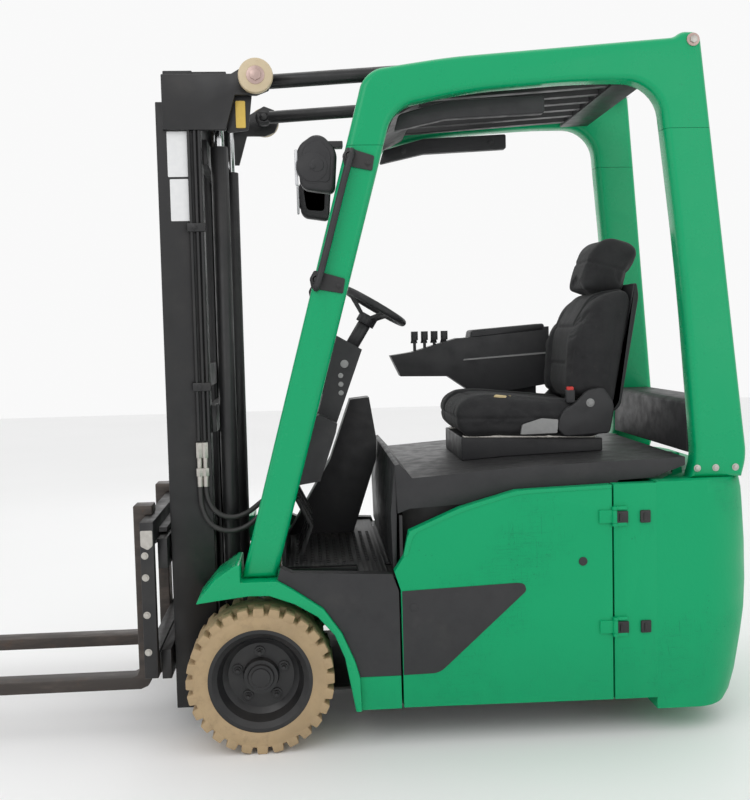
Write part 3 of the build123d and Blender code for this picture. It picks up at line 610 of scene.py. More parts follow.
def add_hex(mesh, centre, direction, radius, height):
    """A hexagon bolt head standing on a surface."""
    direction = Vector(direction).normalized()
    add_rod(mesh, centre, Vector(centre) + direction * height, radius, segments=6, rounding=radius * 0.12)


def add_bolt(mesh, centre, direction, radius, height):
    """A washer with a hexagon head on it."""
    direction = Vector(direction).normalized()
    centre = Vector(centre)
    add_rod(
        mesh,
        centre - direction * 0.001,
        centre + direction * height * 0.25,
        radius * 1.45,
        rounding=radius * 0.1,
    )
    add_hex(mesh, centre + direction * height * 0.2, direction, radius, height * 0.8)


# Finishes of the CAD nodes

NODE_FINISH = {
    "guard_front_left": "green_gloss",
    "guard_front_right": "green_gloss",
    "guard_beam_left": "green_gloss",
    "guard_beam_right": "green_gloss",
    "guard_rear_left": "green_gloss",
    "guard_rear_right": "green_gloss",
    "fender_left": "green_gloss",
    "fender_right": "green_gloss",
    "battery_door": "green_scuffed",
    "side_panel_right": "green_scuffed",
    "hinge_strip_left": "green_scuffed",
    "counterweight": "green_scuffed",
    "tyre_left": "tan_tyre",
    "tyre_right": "tan_tyre",
    "rear_tyres": "tan_tyre",
    "fork_left": "fork_steel",
    "fork_right": "fork_steel",
    "lift_rods": "chrome",
    "tilt_rods": "chrome",
    "floor_mat": "floor_rubber",
    "seat_cushion": "seat_cloth",
    "seat_back": "seat_cloth",
    "hood": "black_plastic",
    "dash": "black_plastic",
    "armrest": "black_plastic",
    "steering_wheel": "black_plastic",
    "seat_base": "black_plastic",
    "steering_column": "black_plastic",
    "rear_cover": "black_plastic",
    "lamp_left": "black_plastic",
    "lamp_right": "black_plastic",
    "step_left": "black_plastic",
    "step_right": "black_plastic",
}


def soften(node, width, segments):
    """Rounds a CAD node's sharp edges in the render."""
    weld = node.modifiers.new("weld", "WELD")
    weld.merge_threshold = 0.00002
    flat = node.modifiers.new("flat", "DECIMATE")
    flat.decimate_type = "DISSOLVE"
    flat.angle_limit = math.radians(0.6)
    bevel = node.modifiers.new("edge", "BEVEL")
    bevel.width = width
    bevel.segments = segments
    bevel.limit_method = "ANGLE"
    bevel.angle_limit = math.radians(28)
    bevel.harden_normals = True
    bevel.use_clamp_overlap = True


class FORKLIFT_OT_finishes(bpy.types.Operator):
    """Gives each CAD node its finish and rounds its edges in the render."""

    bl_idname = "forklift.finishes"
    bl_label = "Finish the CAD nodes"

    def execute(self, context):
        edge = settings().edge
        for name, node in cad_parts.items():
            finish = finish_named(NODE_FINISH.get(name, "black_steel"))
            node.data.materials.clear()
            node.data.materials.append(finish)
            node.data.shade_smooth()
            node.data.set_sharp_from_angle(angle=math.radians(32))
            if name.startswith("guard_") and name != "guard_roof":
                soften(node, edge.guard, edge.segments)
            elif name in ("counterweight", "battery_door", "side_panel_right", "hood", "armrest", "dash"):
                soften(node, edge.body, 3)
            elif name.startswith(("fender", "step", "hinge_strip", "lamp", "fork", "seat_base", "rear_cover")):
                soften(node, 0.004, 2)
            elif not name.startswith(("tyre", "rim", "rear_", "lift_rods", "tilt_rods")):
                soften(node, edge.steel, 1)
        return {"FINISHED"}


# Forms that start from a CAD node or from a side-view outline


def merge(target, source):
    """Moves one bmesh into another."""
    data = bpy.data.meshes.new("part")
    source.to_mesh(data)
    source.free()
    target.from_mesh(data)
    bpy.data.meshes.remove(data)


def copy_of(*nodes):
    """CAD nodes' shapes as one merged bmesh, flat faces joined."""
    mesh = bmesh.new()
    for name in nodes:
        mesh.from_mesh(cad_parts[name].data)
    bmesh.ops.remove_doubles(mesh, verts=mesh.verts, dist=0.00002)
    bmesh.ops.dissolve_limit(mesh, angle_limit=math.radians(0.8), verts=mesh.verts, edges=mesh.edges)
    return mesh


def flat_shape(corners):
    """A face on the XZ plane; each corner is station, height and the length its rounding cuts off."""
    mesh = bmesh.new()
    mesh.faces.new([mesh.verts.new(spot(station, 0, height)) for station, height, cut in corners])
    for station, height, cut in corners:
        if cut:
            place = spot(station, 0, height)
            corner = min(mesh.verts, key=lambda vert: (vert.co - place).length)
            bmesh.ops.bevel(
                mesh, geom=[
                    corner,
                ], offset=cut / 1000, segments=8, profile=0.5, affect="VERTICES", material=-1
            )
    return mesh


def add_plate(target, corners, y_low, y_high, edge=0.0, segments=3):
    """A side-view outline with rounded corners, between two Y values in millimetres."""
    mesh = flat_shape(corners)
    bmesh.ops.translate(mesh, vec=(0, y_low / 1000, 0), verts=mesh.verts)
    grown = bmesh.ops.extrude_face_region(mesh, geom=mesh.faces[:], use_keep_orig=True)
    moved = [item for item in grown["geom"] if isinstance(item, bmesh.types.BMVert)]
    bmesh.ops.translate(mesh, vec=(0, (y_high - y_low) / 1000, 0), verts=moved)
    bmesh.ops.recalc_face_normals(mesh, faces=mesh.faces)
    if edge:
        rims = [item for item in mesh.edges if abs(item.verts[0].co.y - item.verts[1].co.y) < 0.00001]
        bmesh.ops.bevel(
            mesh, geom=rims, offset=edge / 1000, segments=segments, profile=0.5, affect="EDGES", material=-1
        )
    merge(target, mesh)


def trimmed(mesh, point, normal):
    """Keeps what lies behind a plane, and closes the cut."""
    cut = bmesh.ops.bisect_plane(
        mesh, geom=[*mesh.verts, *mesh.edges, *mesh.faces], plane_co=point, plane_no=normal, clear_outer=True
    )
    rim = [item for item in cut["geom_cut"] if isinstance(item, bmesh.types.BMEdge)]
    bmesh.ops.holes_fill(mesh, edges=rim, sides=0)
    return mesh


def mirrored(mesh):
    """The same shape on the truck's right side."""
    other = mesh.copy()
    bmesh.ops.scale(other, vec=(1, -1, 1), verts=other.verts)
    bmesh.ops.reverse_faces(other, faces=other.faces)
    return other


def both_sides(name, mesh, finish, body):
    """A piece on the left and its mirror image on the right."""
    right = piece(f"{name}_right", mirrored(mesh), finish, body)
    left = piece(f"{name}_left", mesh, finish, body)
    return right, left


def pipe(name, points, radius, finish, body):
    """A rigid bent pipe or bar through points in metres."""
    data = bpy.data.curves.new(name, "CURVE")
    data.dimensions = "3D"
    data.bevel_depth = radius
    data.bevel_resolution = 4
    data.use_fill_caps = True
    line = data.splines.new("NURBS")
    line.points.add(len(points) - 1)
    for point, place in zip(line.points, points):
        point.co = (*place, 1.0)
    line.order_u = 3
    line.use_endpoint_u = True
    line.resolution_u = 8
    made = bpy.data.objects.new(name, data)
    bpy.context.scene.collection.objects.link(made)
    data.materials.append(finish_named(finish))
    if body:
        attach(made, body)
    return made


# Guard

GUARD_CORNERS = [
    (-50, 540, 0),
    (374, 2112, 55),
    (640, 2152, 60),
    (1364, 2210, 12),
    (1390, 2228, 12),
    (1449, 2226, 26),
    (1574, 872, 30),
    (1556, 806, 0),
    (1384, 806, 0),
    (1405, 872, 34),
    (1370, 1470, 200),
    (1310, 2072, 105),
    (1080, 2076, 100),
    (700, 2048, 100),
    (462, 1997, 66),
    (58, 540, 0),
]
GUARD_FOOT_Y = -492
GUARD_THICK = 84
GUARD_LEAN = (492 - 418) / 1560
FRONT_SEAM_Z = 1.878
REAR_SEAM_Z = 1.921


def leaned(mesh):
    """Leans a left-side shape inward towards the roof."""
    for vert in mesh.verts:
        vert.co.y += (vert.co.z - 0.54) * GUARD_LEAN
    return mesh


def guard_y(height, out=0.0):
    """World Y in millimetres of the left guard's outer face at a height, and that far out from it."""
    return GUARD_FOOT_Y + (height - 540) * GUARD_LEAN - out


class FORKLIFT_OT_guard(bpy.types.Operator):
    """Makes the guard's frames with large rounded corners, parted at their seams."""

    bl_idname = "forklift.guard"
    bl_label = "Round the guard's frames"

    def execute(self, context):
        edge = settings().edge
        seam = 0.0012
        for name, planes in (
            ("guard_front", [((at(900), 0, 0), (1, 0, 0)), ((0, 0, FRONT_SEAM_Z - seam), (0, 0, 1))]),
            ("guard_beam", []),
            ("guard_rear", [((at(900), 0, 0), (-1, 0, 0)), ((0, 0, REAR_SEAM_Z - seam), (0, 0, 1))]),
        ):
            whole = bmesh.new()
            add_plate(whole, GUARD_CORNERS, GUARD_FOOT_Y, GUARD_FOOT_Y + GUARD_THICK, edge.guard * 1000, 6)
            if name == "guard_beam":
                beam = trimmed(whole, (0, 0, FRONT_SEAM_Z), (0, 0, -1))
                bmesh.ops.bisect_plane(
                    beam,
                    geom=[*beam.verts, *beam.edges, *beam.faces],
                    plane_co=(0, 0, REAR_SEAM_Z),
                    plane_no=(0, 0, -1),
                )
                low = [vert for vert in beam.verts if vert.co.z < REAR_SEAM_Z - 0.0001 and vert.co.x > at(900)]
                bmesh.ops.delete(beam, geom=low, context="VERTS")
                rim = [item for item in beam.edges if item.is_boundary]
                bmesh.ops.holes_fill(beam, edges=rim, sides=0)
                whole = beam
                add_rod(whole, spot(1421, -398, 2196), spot(1421, -247, 2196), 0.010)
            else:
                for point, normal in planes:
                    whole = trimmed(whole, point, normal)
            both = both_sides(name, leaned(whole), "green_gloss", "chassis")
            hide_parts(f"{name}_right")
            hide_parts(f"{name}_left")
        return {"FINISHED"}


class FORKLIFT_OT_guard_trim(bpy.types.Operator):
    """Fits the guard's ear discs, bolts, straps, grab handles, lamp rings and side boxes."""

    bl_idname = "forklift.guard_trim"
    bl_label = "Fit the guard's bolts, straps and handles"

    def execute(self, context):
        for side, name in ((-1, "left"), (1, "right")):
            def out(station, height, distance):
                return spot(station, side * abs(guard_y(height, distance)), height)

            ear = bmesh.new()
            add_rod(ear, out(1421, 2198, -4), out(1421, 2198, 5), 0.021, rounding=0.002)
            piece(f"ear_disc_{name}", ear, "pink_metal", "chassis")
            head = bmesh.new()
            add_hex(head, out(1421, 2198, 4), (0, side, 0), 0.013, 0.007)
            for station in (1405, 1465, 1530):
                add_bolt(head, out(station, 838, 1), (0, side, 0), 0.008, 0.006)
            piece(f"guard_bolts_{name}", head, "zinc", "chassis")

            straps = bmesh.new()
            for low, high in (((189, 1408), (301, 1508)), ((301, 1795), (402, 1878))):
                middle = ((low[0] + high[0]) / 2, (low[1] + high[1]) / 2)
                height = middle[1]
                corners = [
                    (low[0] - 3, height + 8, 5),
                    (low[0] + 12, height + 34, 5),
                    (high[0] - 4, height + 6, 5),
                    (high[0] - 12, height - 40, 5),
                    (low[0] + 2, height - 22, 5),
                ]
                strap = bmesh.new()
                add_plate(strap, corners, -7, 0, 2.0, 2)
                bmesh.ops.translate(strap, vec=(0, guard_y(height, 0.5) / 1000, 0), verts=strap.verts)
                if side > 0:
                    strap_right = mirrored(strap)
                    strap.free()
                    strap = strap_right
                merge(straps, strap)
                add_bolt(straps, out(high[0] - 24, height - 16, 7), (0, side, 0), 0.007, 0.006)
                add_bolt(straps, out(low[0] + 18, height + 4, 26), (0, side, 0), 0.009, 0.008)
                add_rod(
                    straps,
                    out(low[0] + 18, height + 4, 4),
                    out(low[0] + 18, height + 4, 28),
                    0.015,
                    rounding=0.002,
                )
            piece(f"guard_straps_{name}", straps, "black_steel", "chassis")
            pipe(
                f"grab_handle_{name}",
                [
                    out(206, 1436, 8),
                    out(206, 1440, 26),
                    out(222, 1482, 27),
                    out(306, 1786, 27),
                    out(326, 1850, 26),
                    out(328, 1858, 8),
                ],
                0.011,
                "black_plastic",
                "chassis",
            )
            lamp = bmesh.new()
            for distance, radius in ((0.0, 0.052), (4.0, 0.046)):
                add_rod(
                    lamp,
                    spot(206, side * (409 + distance), 1815),
                    spot(206, side * (413 + distance), 1815),
                    radius,
                    segments=40,
                    rounding=0.0015,
                )
            add_bolt(lamp, spot(206, side * 416, 1815), (0, side, 0), 0.008, 0.006)
            add_box(lamp, spot(226, side * 384 - 20, 1876), spot(302, side * 384 + 20, 1896), 0.003)
            piece(f"lamp_ring_{name}", lamp, "black_plastic", "chassis")
            glass = bmesh.new()
            add_box(glass, spot(150, side * 384 - 22, 1760), spot(160, side * 384 + 22, 1872), 0.004)
            piece(f"lamp_lens_{name}", glass, "lens", "chassis")
        roof = bmesh.new()
        for side in (-1, 1):
            y_low, y_high = (-336, -300) if side < 0 else (300, 336)
            add_plate(
                roof,
                [
                    (470, 1938, 10), (486, 1990, 10), (640, 2032, 8), (960, 2046, 8), (960, 1990, 8),
                    (640, 1975, 8),
                ],
                y_low,
                y_high,
                4,
            )
            for station, height in ((560, 1986), (900, 2018)):
                add_bolt(roof, spot(station, side * 300, height), (0, -side, 0), 0.009, 0.007)
        piece("roof_side_boxes", roof, "black_plastic", "chassis")
        return {"FINISHED"}


# Lamps


class FORKLIFT_OT_lamps(bpy.types.Operator):
    """Makes the two work lamps with rounded shells."""

    bl_idname = "forklift.lamps"
    bl_label = "Round the work lamps"

    def execute(self, context):
        for side, name in ((-1, "left"), (1, "right")):
            y_low, y_high = sorted((side * 412, side * 356))
            shell = bmesh.new()
            add_plate(
                shell,
                [(154, 1878, 30), (226, 1928, 34), (284, 1868, 26), (274, 1732, 20), (168, 1748, 26)],
                y_low,
                y_high,
                14,
                4,
            )
            add_plate(
                shell,
                [(172, 1868, 20), (226, 1904, 24), (264, 1860, 16), (258, 1766, 16), (184, 1772, 18)],
                y_low - 3 * (side < 0),
                y_high + 3 * (side > 0),
                3,
                2,
            )
            add_rod(
                shell,
                spot(220, side * 412, 1820),
                spot(220, side * 419, 1820),
                0.026,
                0.020,
                rounding=0.002,
            )
            made = piece(f"work_lamp_{name}", shell, "black_plastic", "chassis")
            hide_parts(f"lamp_{name}")
        return {"FINISHED"}


# Wheels

LUG_COUNT = 28


class FORKLIFT_OT_tyres(bpy.types.Operator):
    """Spins the front tyres, sets lugs on their shoulders and fits the wheel studs."""

    bl_idname = "forklift.tyres"
    bl_label = "Cut the tyres' lugs"

    def execute(self, context):
        for side, name in ((-1, "left"), (1, "right")):
            tyre = bmesh.new()
            outer, inner = side * 542.5, side * 344.5
            centre = Vector((at(0), 0, 0.229))

            def ring_profile(points):
                verts = [tyre.verts.new((at(0), y / 1000, 0.229 + radius / 1000)) for y, radius in points]
                return [tyre.edges.new(pair) for pair in zip(verts, verts[1:] + verts[:1])]

            body = ring_profile(
                [
                    (outer - side * 6, 162),
                    (outer, 172),
                    (outer, 190),
                    (outer - side * 3, 206),
                    (outer - side * 8, 210),
                    (outer - side * 56, 212),
                    (outer - side * 62, 226),
                    (outer - side * 68, 228.5),
                    (inner + side * 68, 228.5),
                    (inner + side * 62, 226),
                    (inner + side * 56, 212),
                    (inner + side * 8, 210),
                    (inner + side * 3, 206),
                    (inner, 190),
                    (inner, 172),
                    (inner + side * 6, 162),
                ]
            )
            bmesh.ops.spin(
                tyre,
                geom=[*tyre.verts, *body],
                cent=centre,
                axis=(0, 1, 0),
                dvec=(0, 0, 0),
                angle=math.tau,
                steps=96,
                use_merge=True,
            )
            bmesh.ops.recalc_face_normals(tyre, faces=tyre.faces)
            for face_y, turn in ((outer, 0.0), (inner, 0.5)):
                inward = side if face_y == outer else -side
                for k in range(LUG_COUNT):
                    lug = bmesh.new()
                    y_a, y_b = sorted((face_y - inward * 1.5, face_y - inward * 64))
                    add_box(
                        lug,
                        (at(0) - 0.0175, y_a / 1000, 0.229 + 0.200),
                        (at(0) + 0.0175, y_b / 1000, 0.229 + 0.2288),
                        0.004,
                        2,
                    )
                    for vert in lug.verts:
                        rise = (vert.co.z - 0.429) / 0.0288
                        vert.co.x = at(0) + (vert.co.x - at(0)) * (1.06 - 0.18 * rise)
                    turning = Matrix.Rotation(math.tau * (k + turn) / LUG_COUNT, 4, "Y")
                    bmesh.ops.rotate(lug, verts=lug.verts, cent=centre, matrix=turning)
                    merge(tyre, lug)
            made = piece(f"lugged_tyre_{name}", tyre, "tan_tyre", f"front_wheel_{name}")
            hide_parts(f"tyre_{name}")
            trim = bmesh.new()
            disc = side * (542.5 - 8 - 62)
            for k in range(5):
                angle = math.radians(20 + 72 * k)
                place = centre + Vector(
                    (0.076 * math.cos(angle), side * abs(disc) / 1000, 0.076 * math.sin(angle)),
                )
                add_rod(trim, place, place + Vector((0, side * 0.006, 0)), 0.017, rounding=0.001)
                add_rod(trim, place, place + Vector((0, side * 0.026, 0)), 0.006, rounding=0.001)
            add_rod(
                trim,
                centre + Vector((0, side * (abs(disc) + 28) / 1000, 0)),
                centre + Vector((0, side * (abs(disc) + 36) / 1000, 0)),
                0.030,
                rounding=0.003,
            )
            piece(f"wheel_studs_{name}", trim, "black_steel", f"front_wheel_{name}")
        return {"FINISHED"}


# Mast


class FORKLIFT_OT_mast_trim(bpy.types.Operator):
    """Fits the mast's pin caps, blank labels, tag, oil pipes, clamps and lift chains."""

    bl_idname = "forklift.mast_trim"
    bl_label = "Fit the mast's caps, pipes, labels and chains"

    def execute(self, context):
        for side, name in ((-1, "left"), (1, "right")):
            cap = bmesh.new()
            face = side * 0.343
            middle = spot(35, 0, 2109)

            def across(y):
                return middle + Vector((0, face + side * y, 0))

            add_rod(cap, across(-0.002), across(0.026), 0.055, segments=48, rounding=0.008)
            piece(f"pin_cap_{name}", cap, "cream", "mast")
            hub = bmesh.new()
            add_rod(hub, across(0.020), across(0.0285), 0.029, segments=40, rounding=0.002)
            add_hex(hub, across(0.028), (0, side, 0), 0.019, 0.007)
            piece(f"pin_hub_{name}", hub, "pink_metal", "mast")
        labels = bmesh.new()
        add_plate(
            labels,
            [(-252, 1945, 3), (-188, 1945, 3), (-188, 1803, 3), (-252, 1803, 3)],
            -326.2,
            -324.6,
        )
        add_plate(
            labels,
            [(-247, 1796, 3), (-188, 1796, 3), (-188, 1664, 3), (-247, 1664, 3)],
            -326.2,
            -324.6,
        )
        piece("mast_labels", labels, "label", "mast")
        tag = bmesh.new()
        add_plate(tag, [(-33, 2040, 4), (-2, 2040, 4), (-2, 1955, 4), (-33, 1955, 4)], -322, -317, 1)
        piece("mast_tag", tag, "yellow", "mast")
        hanger = bmesh.new()
        add_plate(hanger, [(-66, 2060, 0), (20, 2060, 0), (6, 1948, 4), (-60, 1940, 4)], -317, -311, 1)
        piece("tag_bracket", hanger, "black_steel", "mast")

        clamps = bmesh.new()
        fittings = bmesh.new()
        for station in (-183, -164, -150):
            pipe(
                f"oil_pipe_{-station}",
                [spot(station, -333, 960), spot(station, -333, 1300), spot(station, -333, 1946)],
                0.0055,
                "black_steel",
                "mast",
            )
        for height in (1628, 1120):
            add_box(clamps, spot(-197, -343, height), spot(-138, -324.8, height + 28), 0.004)
            add_bolt(clamps, spot(-173, -343, height + 14), (0, -1, 0), 0.007, 0.006)
        piece("pipe_clamps", clamps, "black_steel", "mast")
        for station in (-183, -164):
            for radius, low, high in (
                (0.0105, 955, 905),
                (0.0085, 907, 870),
                (0.012, 872, 846),
                (0.0095, 850, 812),
            ):
                add_rod(
                    fittings,
                    spot(station, -337, low),
                    spot(station, -337, high),
                    radius,
                    segments=6 if radius > 0.01 else 20,
                    rounding=0.001,
                )
        piece("pipe_fittings", fittings, "zinc", "mast")

        chains = bmesh.new()
        for y in (-193, 193):
            for link in range(62):
                height = 640 + 22 * link
                wide = 9 if link % 2 else 6
                add_box(chains, spot(-219, y - wide, height), spot(-209, y + wide, height + 21), 0.0)
            for link in range(41):
                height = 1080 + 22 * link
                wide = 9 if link % 2 else 6
                add_box(chains, spot(-122, y - wide, height), spot(-112, y + wide, height + 21), 0.0)
        piece("lift_chains", chains, "chain", "inner_mast")
        return {"FINISHED"}


# Hoses

HOSE_THICK = 0.017


class FORKLIFT_OT_hoses(bpy.types.Operator):
    """Hangs two hydraulic hoses."""

    bl_idname = "forklift.hoses"
    bl_label = "Hang the hoses"

    def execute(self, context):
        for name, points in (
            (
                "hose_outer",
                [
                    (-183, -337, 815), (-183, -337, 790), (-181, -338, 745), (-160, -338, 690),
                    (-105, -338, 660), (-40, -332, 672), (10, -318, 715), (50, -305, 735), (74, -296, 738),
                ],
            ),
            (
                "hose_inner",
                [
                    (-164, -337, 815), (-164, -337, 800), (-160, -336, 768), (-138, -332, 725),
                    (-90, -326, 702), (-35, -312, 716), (12, -292, 752), (48, -278, 772), (74, -272, 775),
                ],
            ),
        ):
            drawn = pipe(name, [spot(*point) for point in points], HOSE_THICK / 2, "hose", None)
            line = centre_line(drawn)
            data = bpy.data.meshes.new_from_object(drawn.evaluated_get(bpy.context.evaluated_depsgraph_get()))
            bpy.data.objects.remove(drawn)
            made = bpy.data.objects.new(name, data)
            context.scene.collection.objects.link(made)
            data.shade_smooth()
            spot(-165, -337, 740)
            spot(50, -337, 740)
            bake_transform(made)
        return {"FINISHED"}


def centre_line(made):
    """The points in metres that a curve object's own line runs through."""
    bare = made.copy()
    bare.data = made.data.copy()
    bare.data.bevel_depth = 0.0
    bpy.context.scene.collection.objects.link(bare)
    bpy.context.view_layer.update()
    mesh = bare.evaluated_get(bpy.context.evaluated_depsgraph_get()).to_mesh()
    line = [vert.co.copy() for vert in mesh.vertices]
    bpy.data.objects.remove(bare)
    return line


# Seat

PAD_VOXEL = 0.006
PAD_TRAVEL = 0.008
PAD_PRESSURE = 4.0
PAD_FRAMES = 20


def swollen(mesh, name):
    """A bmesh remeshed and blown up a little as a padded cover."""
    data = bpy.data.meshes.new(name)
    bmesh.ops.recalc_face_normals(mesh, faces=mesh.faces)
    mesh.to_mesh(data)
    mesh.free()
    made = bpy.data.objects.new(name, data)
    bpy.context.scene.collection.objects.link(made)
    remesh = made.modifiers.new("remesh", "REMESH")
    remesh.mode = "VOXEL"
    remesh.voxel_size = PAD_VOXEL
    smooth = made.modifiers.new("smooth", "SMOOTH")
    smooth.iterations = 12
    smooth.factor = 0.6
    apply_modifiers(made)
    start = [vert.co.copy() for vert in made.data.vertices]
    cloth = made.modifiers.new("cloth", "CLOTH")
    cloth.settings.use_pressure = True
    cloth.settings.uniform_pressure_force = PAD_PRESSURE
    cloth.settings.effector_weights.gravity = 0.0
    for frame_number in range(1, PAD_FRAMES + 1):
        bpy.context.scene.frame_set(frame_number)
    blown = made.evaluated_get(bpy.context.evaluated_depsgraph_get())
    places = [vert.co.copy() for vert in blown.data.vertices]
    made.modifiers.remove(cloth)
    bpy.context.scene.frame_set(1)
    for vert, first, last in zip(made.data.vertices, start, places):
        shift = last - first
        if shift.length > PAD_TRAVEL:
            shift = shift.normalized() * PAD_TRAVEL
        vert.co = first + shift
    return made


def apply_modifiers(made):
    """Applies a piece's modifiers to its mesh."""
    data = bpy.data.meshes.new_from_object(made.evaluated_get(bpy.context.evaluated_depsgraph_get()))
    made.modifiers.clear()
    old = made.data
    made.data = data
    bpy.data.meshes.remove(old)


def groove(made, near, depth, width):
    """Draws a sewn channel where a distance function is close to zero."""
    made.data.update()
    normals = [vert.normal.copy() for vert in made.data.vertices]
    for vert, normal in zip(made.data.vertices, normals):
        away = near(vert.co)
        if away is not None and abs(away) < width * 3:
            vert.co -= normal * depth * math.exp(-((away / width) ** 2))


def clothe(made, node=None):
    """Finishes a padded piece: cloth, body, node that it stands for."""
    subdivision = made.modifiers.new("fine", "SUBSURF")
    subdivision.levels = 1
    subdivision.render_levels = 1
    apply_modifiers(made)
    made.data.materials.clear()
    made.data.materials.append(finish_named("seat_cloth"))
    made.data.shade_smooth()
    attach(made, "hood")
    if node:
        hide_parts(node)


class FORKLIFT_OT_seat(bpy.types.Operator):
    """Makes the padded seat with its seams, shell, levers, buckle and torn foam."""

    bl_idname = "forklift.seat"
    bl_label = "Pad the seat"

    def execute(self, context):
        cushion = bmesh.new()
        add_plate(
            cushion,
            [
                (664, 1026, 26), (672, 962, 14), (700, 940, 6), (1176, 924, 10), (1190, 960, 12),
                (1116, 1032, 18), (800, 1064, 40), (700, 1058, 26),
            ],
            -130,
            130,
            10,
        )
        for y_low, y_high in ((-232, -118), (118, 232)):
            add_plate(
                cushion,
                [
                    (664, 1032, 26), (672, 962, 14), (700, 940, 6), (1176, 924, 10), (1190, 960, 12),
                    (1116, 1036, 18), (800, 1070, 40), (700, 1066, 26),
                ],
                y_low,
                y_high,
                24,
                4,
            )
        pad = swollen(cushion, "seat_cushion_pad")

        def cushion_seam(place):
            if place.z < 1.0:
                return None
            across = min(abs(abs(place.y) - 0.122), abs(place.x - at(742)) if abs(place.y) < 0.122 else 1.0)
            return across

        groove(pad, cushion_seam, 0.007, 0.006)
        groove(pad, lambda place: place.z - 0.992 - (at(900) - place.x) * 0.02, 0.004, 0.005)
        clothe(pad, "seat_cushion")

        back = bmesh.new()
        add_plate(
            back,
            [
                (1078, 1062, 14), (1126, 1050, 10), (1196, 982, 10), (1228, 1014, 30), (1296, 1396, 20),
                (1284, 1440, 16), (1172, 1408, 26), (1100, 1290, 30),
            ],
            -128,
            128,
            12,
        )
        for y_low, y_high in ((-212, -112), (112, 212)):
            add_plate(
                back,
                [
                    (1068, 1066, 14), (1126, 1050, 10), (1196, 982, 10), (1228, 1014, 30), (1288, 1390, 20),
                    (1270, 1430, 26), (1168, 1396, 40), (1082, 1270, 40),
                ],
                y_low,
                y_high,
                26,
                4,
            )
        rest = swollen(back, "seat_back_pad")

        def back_seam(place):
            along = (place.x - at(1100)) * 0.9 + (place.z - 1.25) * -0.25
            if along > 0.06:
                return None
            channels = [abs(abs(place.y) - 0.118)]
            channels += [abs(place.z - height) for height in (1.17, 1.30) if abs(place.y) < 0.118]
            return min(channels)

        groove(rest, back_seam, 0.006, 0.006)
        clothe(rest, "seat_back")
        head = bmesh.new()
        add_plate(
            head,
            [
                (1140, 1428, 14), (1152, 1470, 20), (1194, 1586, 24), (1240, 1610, 20), (1326, 1586, 18),
                (1346, 1556, 16), (1290, 1462, 30), (1284, 1412, 12),
            ],
            -118,
            118,
            24,
            4,
        )
        top = swollen(head, "headrest_pad")
        groove(top, lambda place: place.z - 1.52 - (place.x - at(1190)) * -0.3, 0.004, 0.005)
        clothe(top)

        shell = bmesh.new()
        add_plate(
            shell,
            [
                (1206, 1000, 10), (1244, 1016, 20), (1312, 1400, 16), (1304, 1446, 10), (1292, 1440, 6),
                (1234, 1040, 10),
            ],
            -200,
            200,
            5,
        )
        piece("seat_shell", shell, "black_plastic", "hood")
        for side, name in ((-1, "left"), (1, "right")):
            cover = bmesh.new()
            y_low, y_high = sorted((side * 216, side * 238))
            add_plate(
                cover,
                [
                    (1010, 955, 10), (1030, 1012, 20), (1076, 1040, 16), (1120, 1084, 16), (1176, 1092, 16),
                    (1214, 1030, 20), (1196, 934, 12), (1040, 926, 10),
                ],
                y_low,
                y_high,
                6,
            )
            piece(f"seat_hinge_cover_{name}", cover, "black_plastic", "hood")
            lever = bmesh.new()
            y_low, y_high = sorted((side * 232, side * 243))
            add_plate(
                lever,
                [(886, 938, 4), (892, 972, 6), (960, 992, 6), (1016, 986, 4), (1012, 940, 4)],
                y_low,
                y_high,
                2,
            )
            add_bolt(lever, spot(1128, side * 238, 1040), (0, side, 0), 0.010, 0.006)
            piece(f"seat_lever_{name}", lever, "grey", "hood")
        slides = bmesh.new()
        for y in (-170, 170):
            add_box(slides, spot(700, y - 16, 908), spot(1160, y + 16, 934), 0.003)
        piece("seat_slides", slides, "zinc", "hood")
        buckle = bmesh.new()
        add_box(buckle, spot(1046, -232, 1040), spot(1078, -208, 1086), 0.006)
        piece("belt_buckle", buckle, "black_plastic", "hood")
        button = bmesh.new()
        add_box(button, spot(1050, -230, 1080), spot(1074, -212, 1096), 0.004)
        piece("belt_button", button, "red", "hood")
        tear = bmesh.new()
        add_plate(tear, [(792, 1066, 6), (800, 1074, 4), (868, 1068, 6), (860, 1060, 4)], -190, -150, 2)
        add_plate(tear, [(800, 1066, 6), (812, 1074, 4), (850, 1069, 6), (842, 1060, 4)], -206, -140, 2)
        piece("seat_foam", tear, "foam", "hood")
        return {"FINISHED"}


# Cab


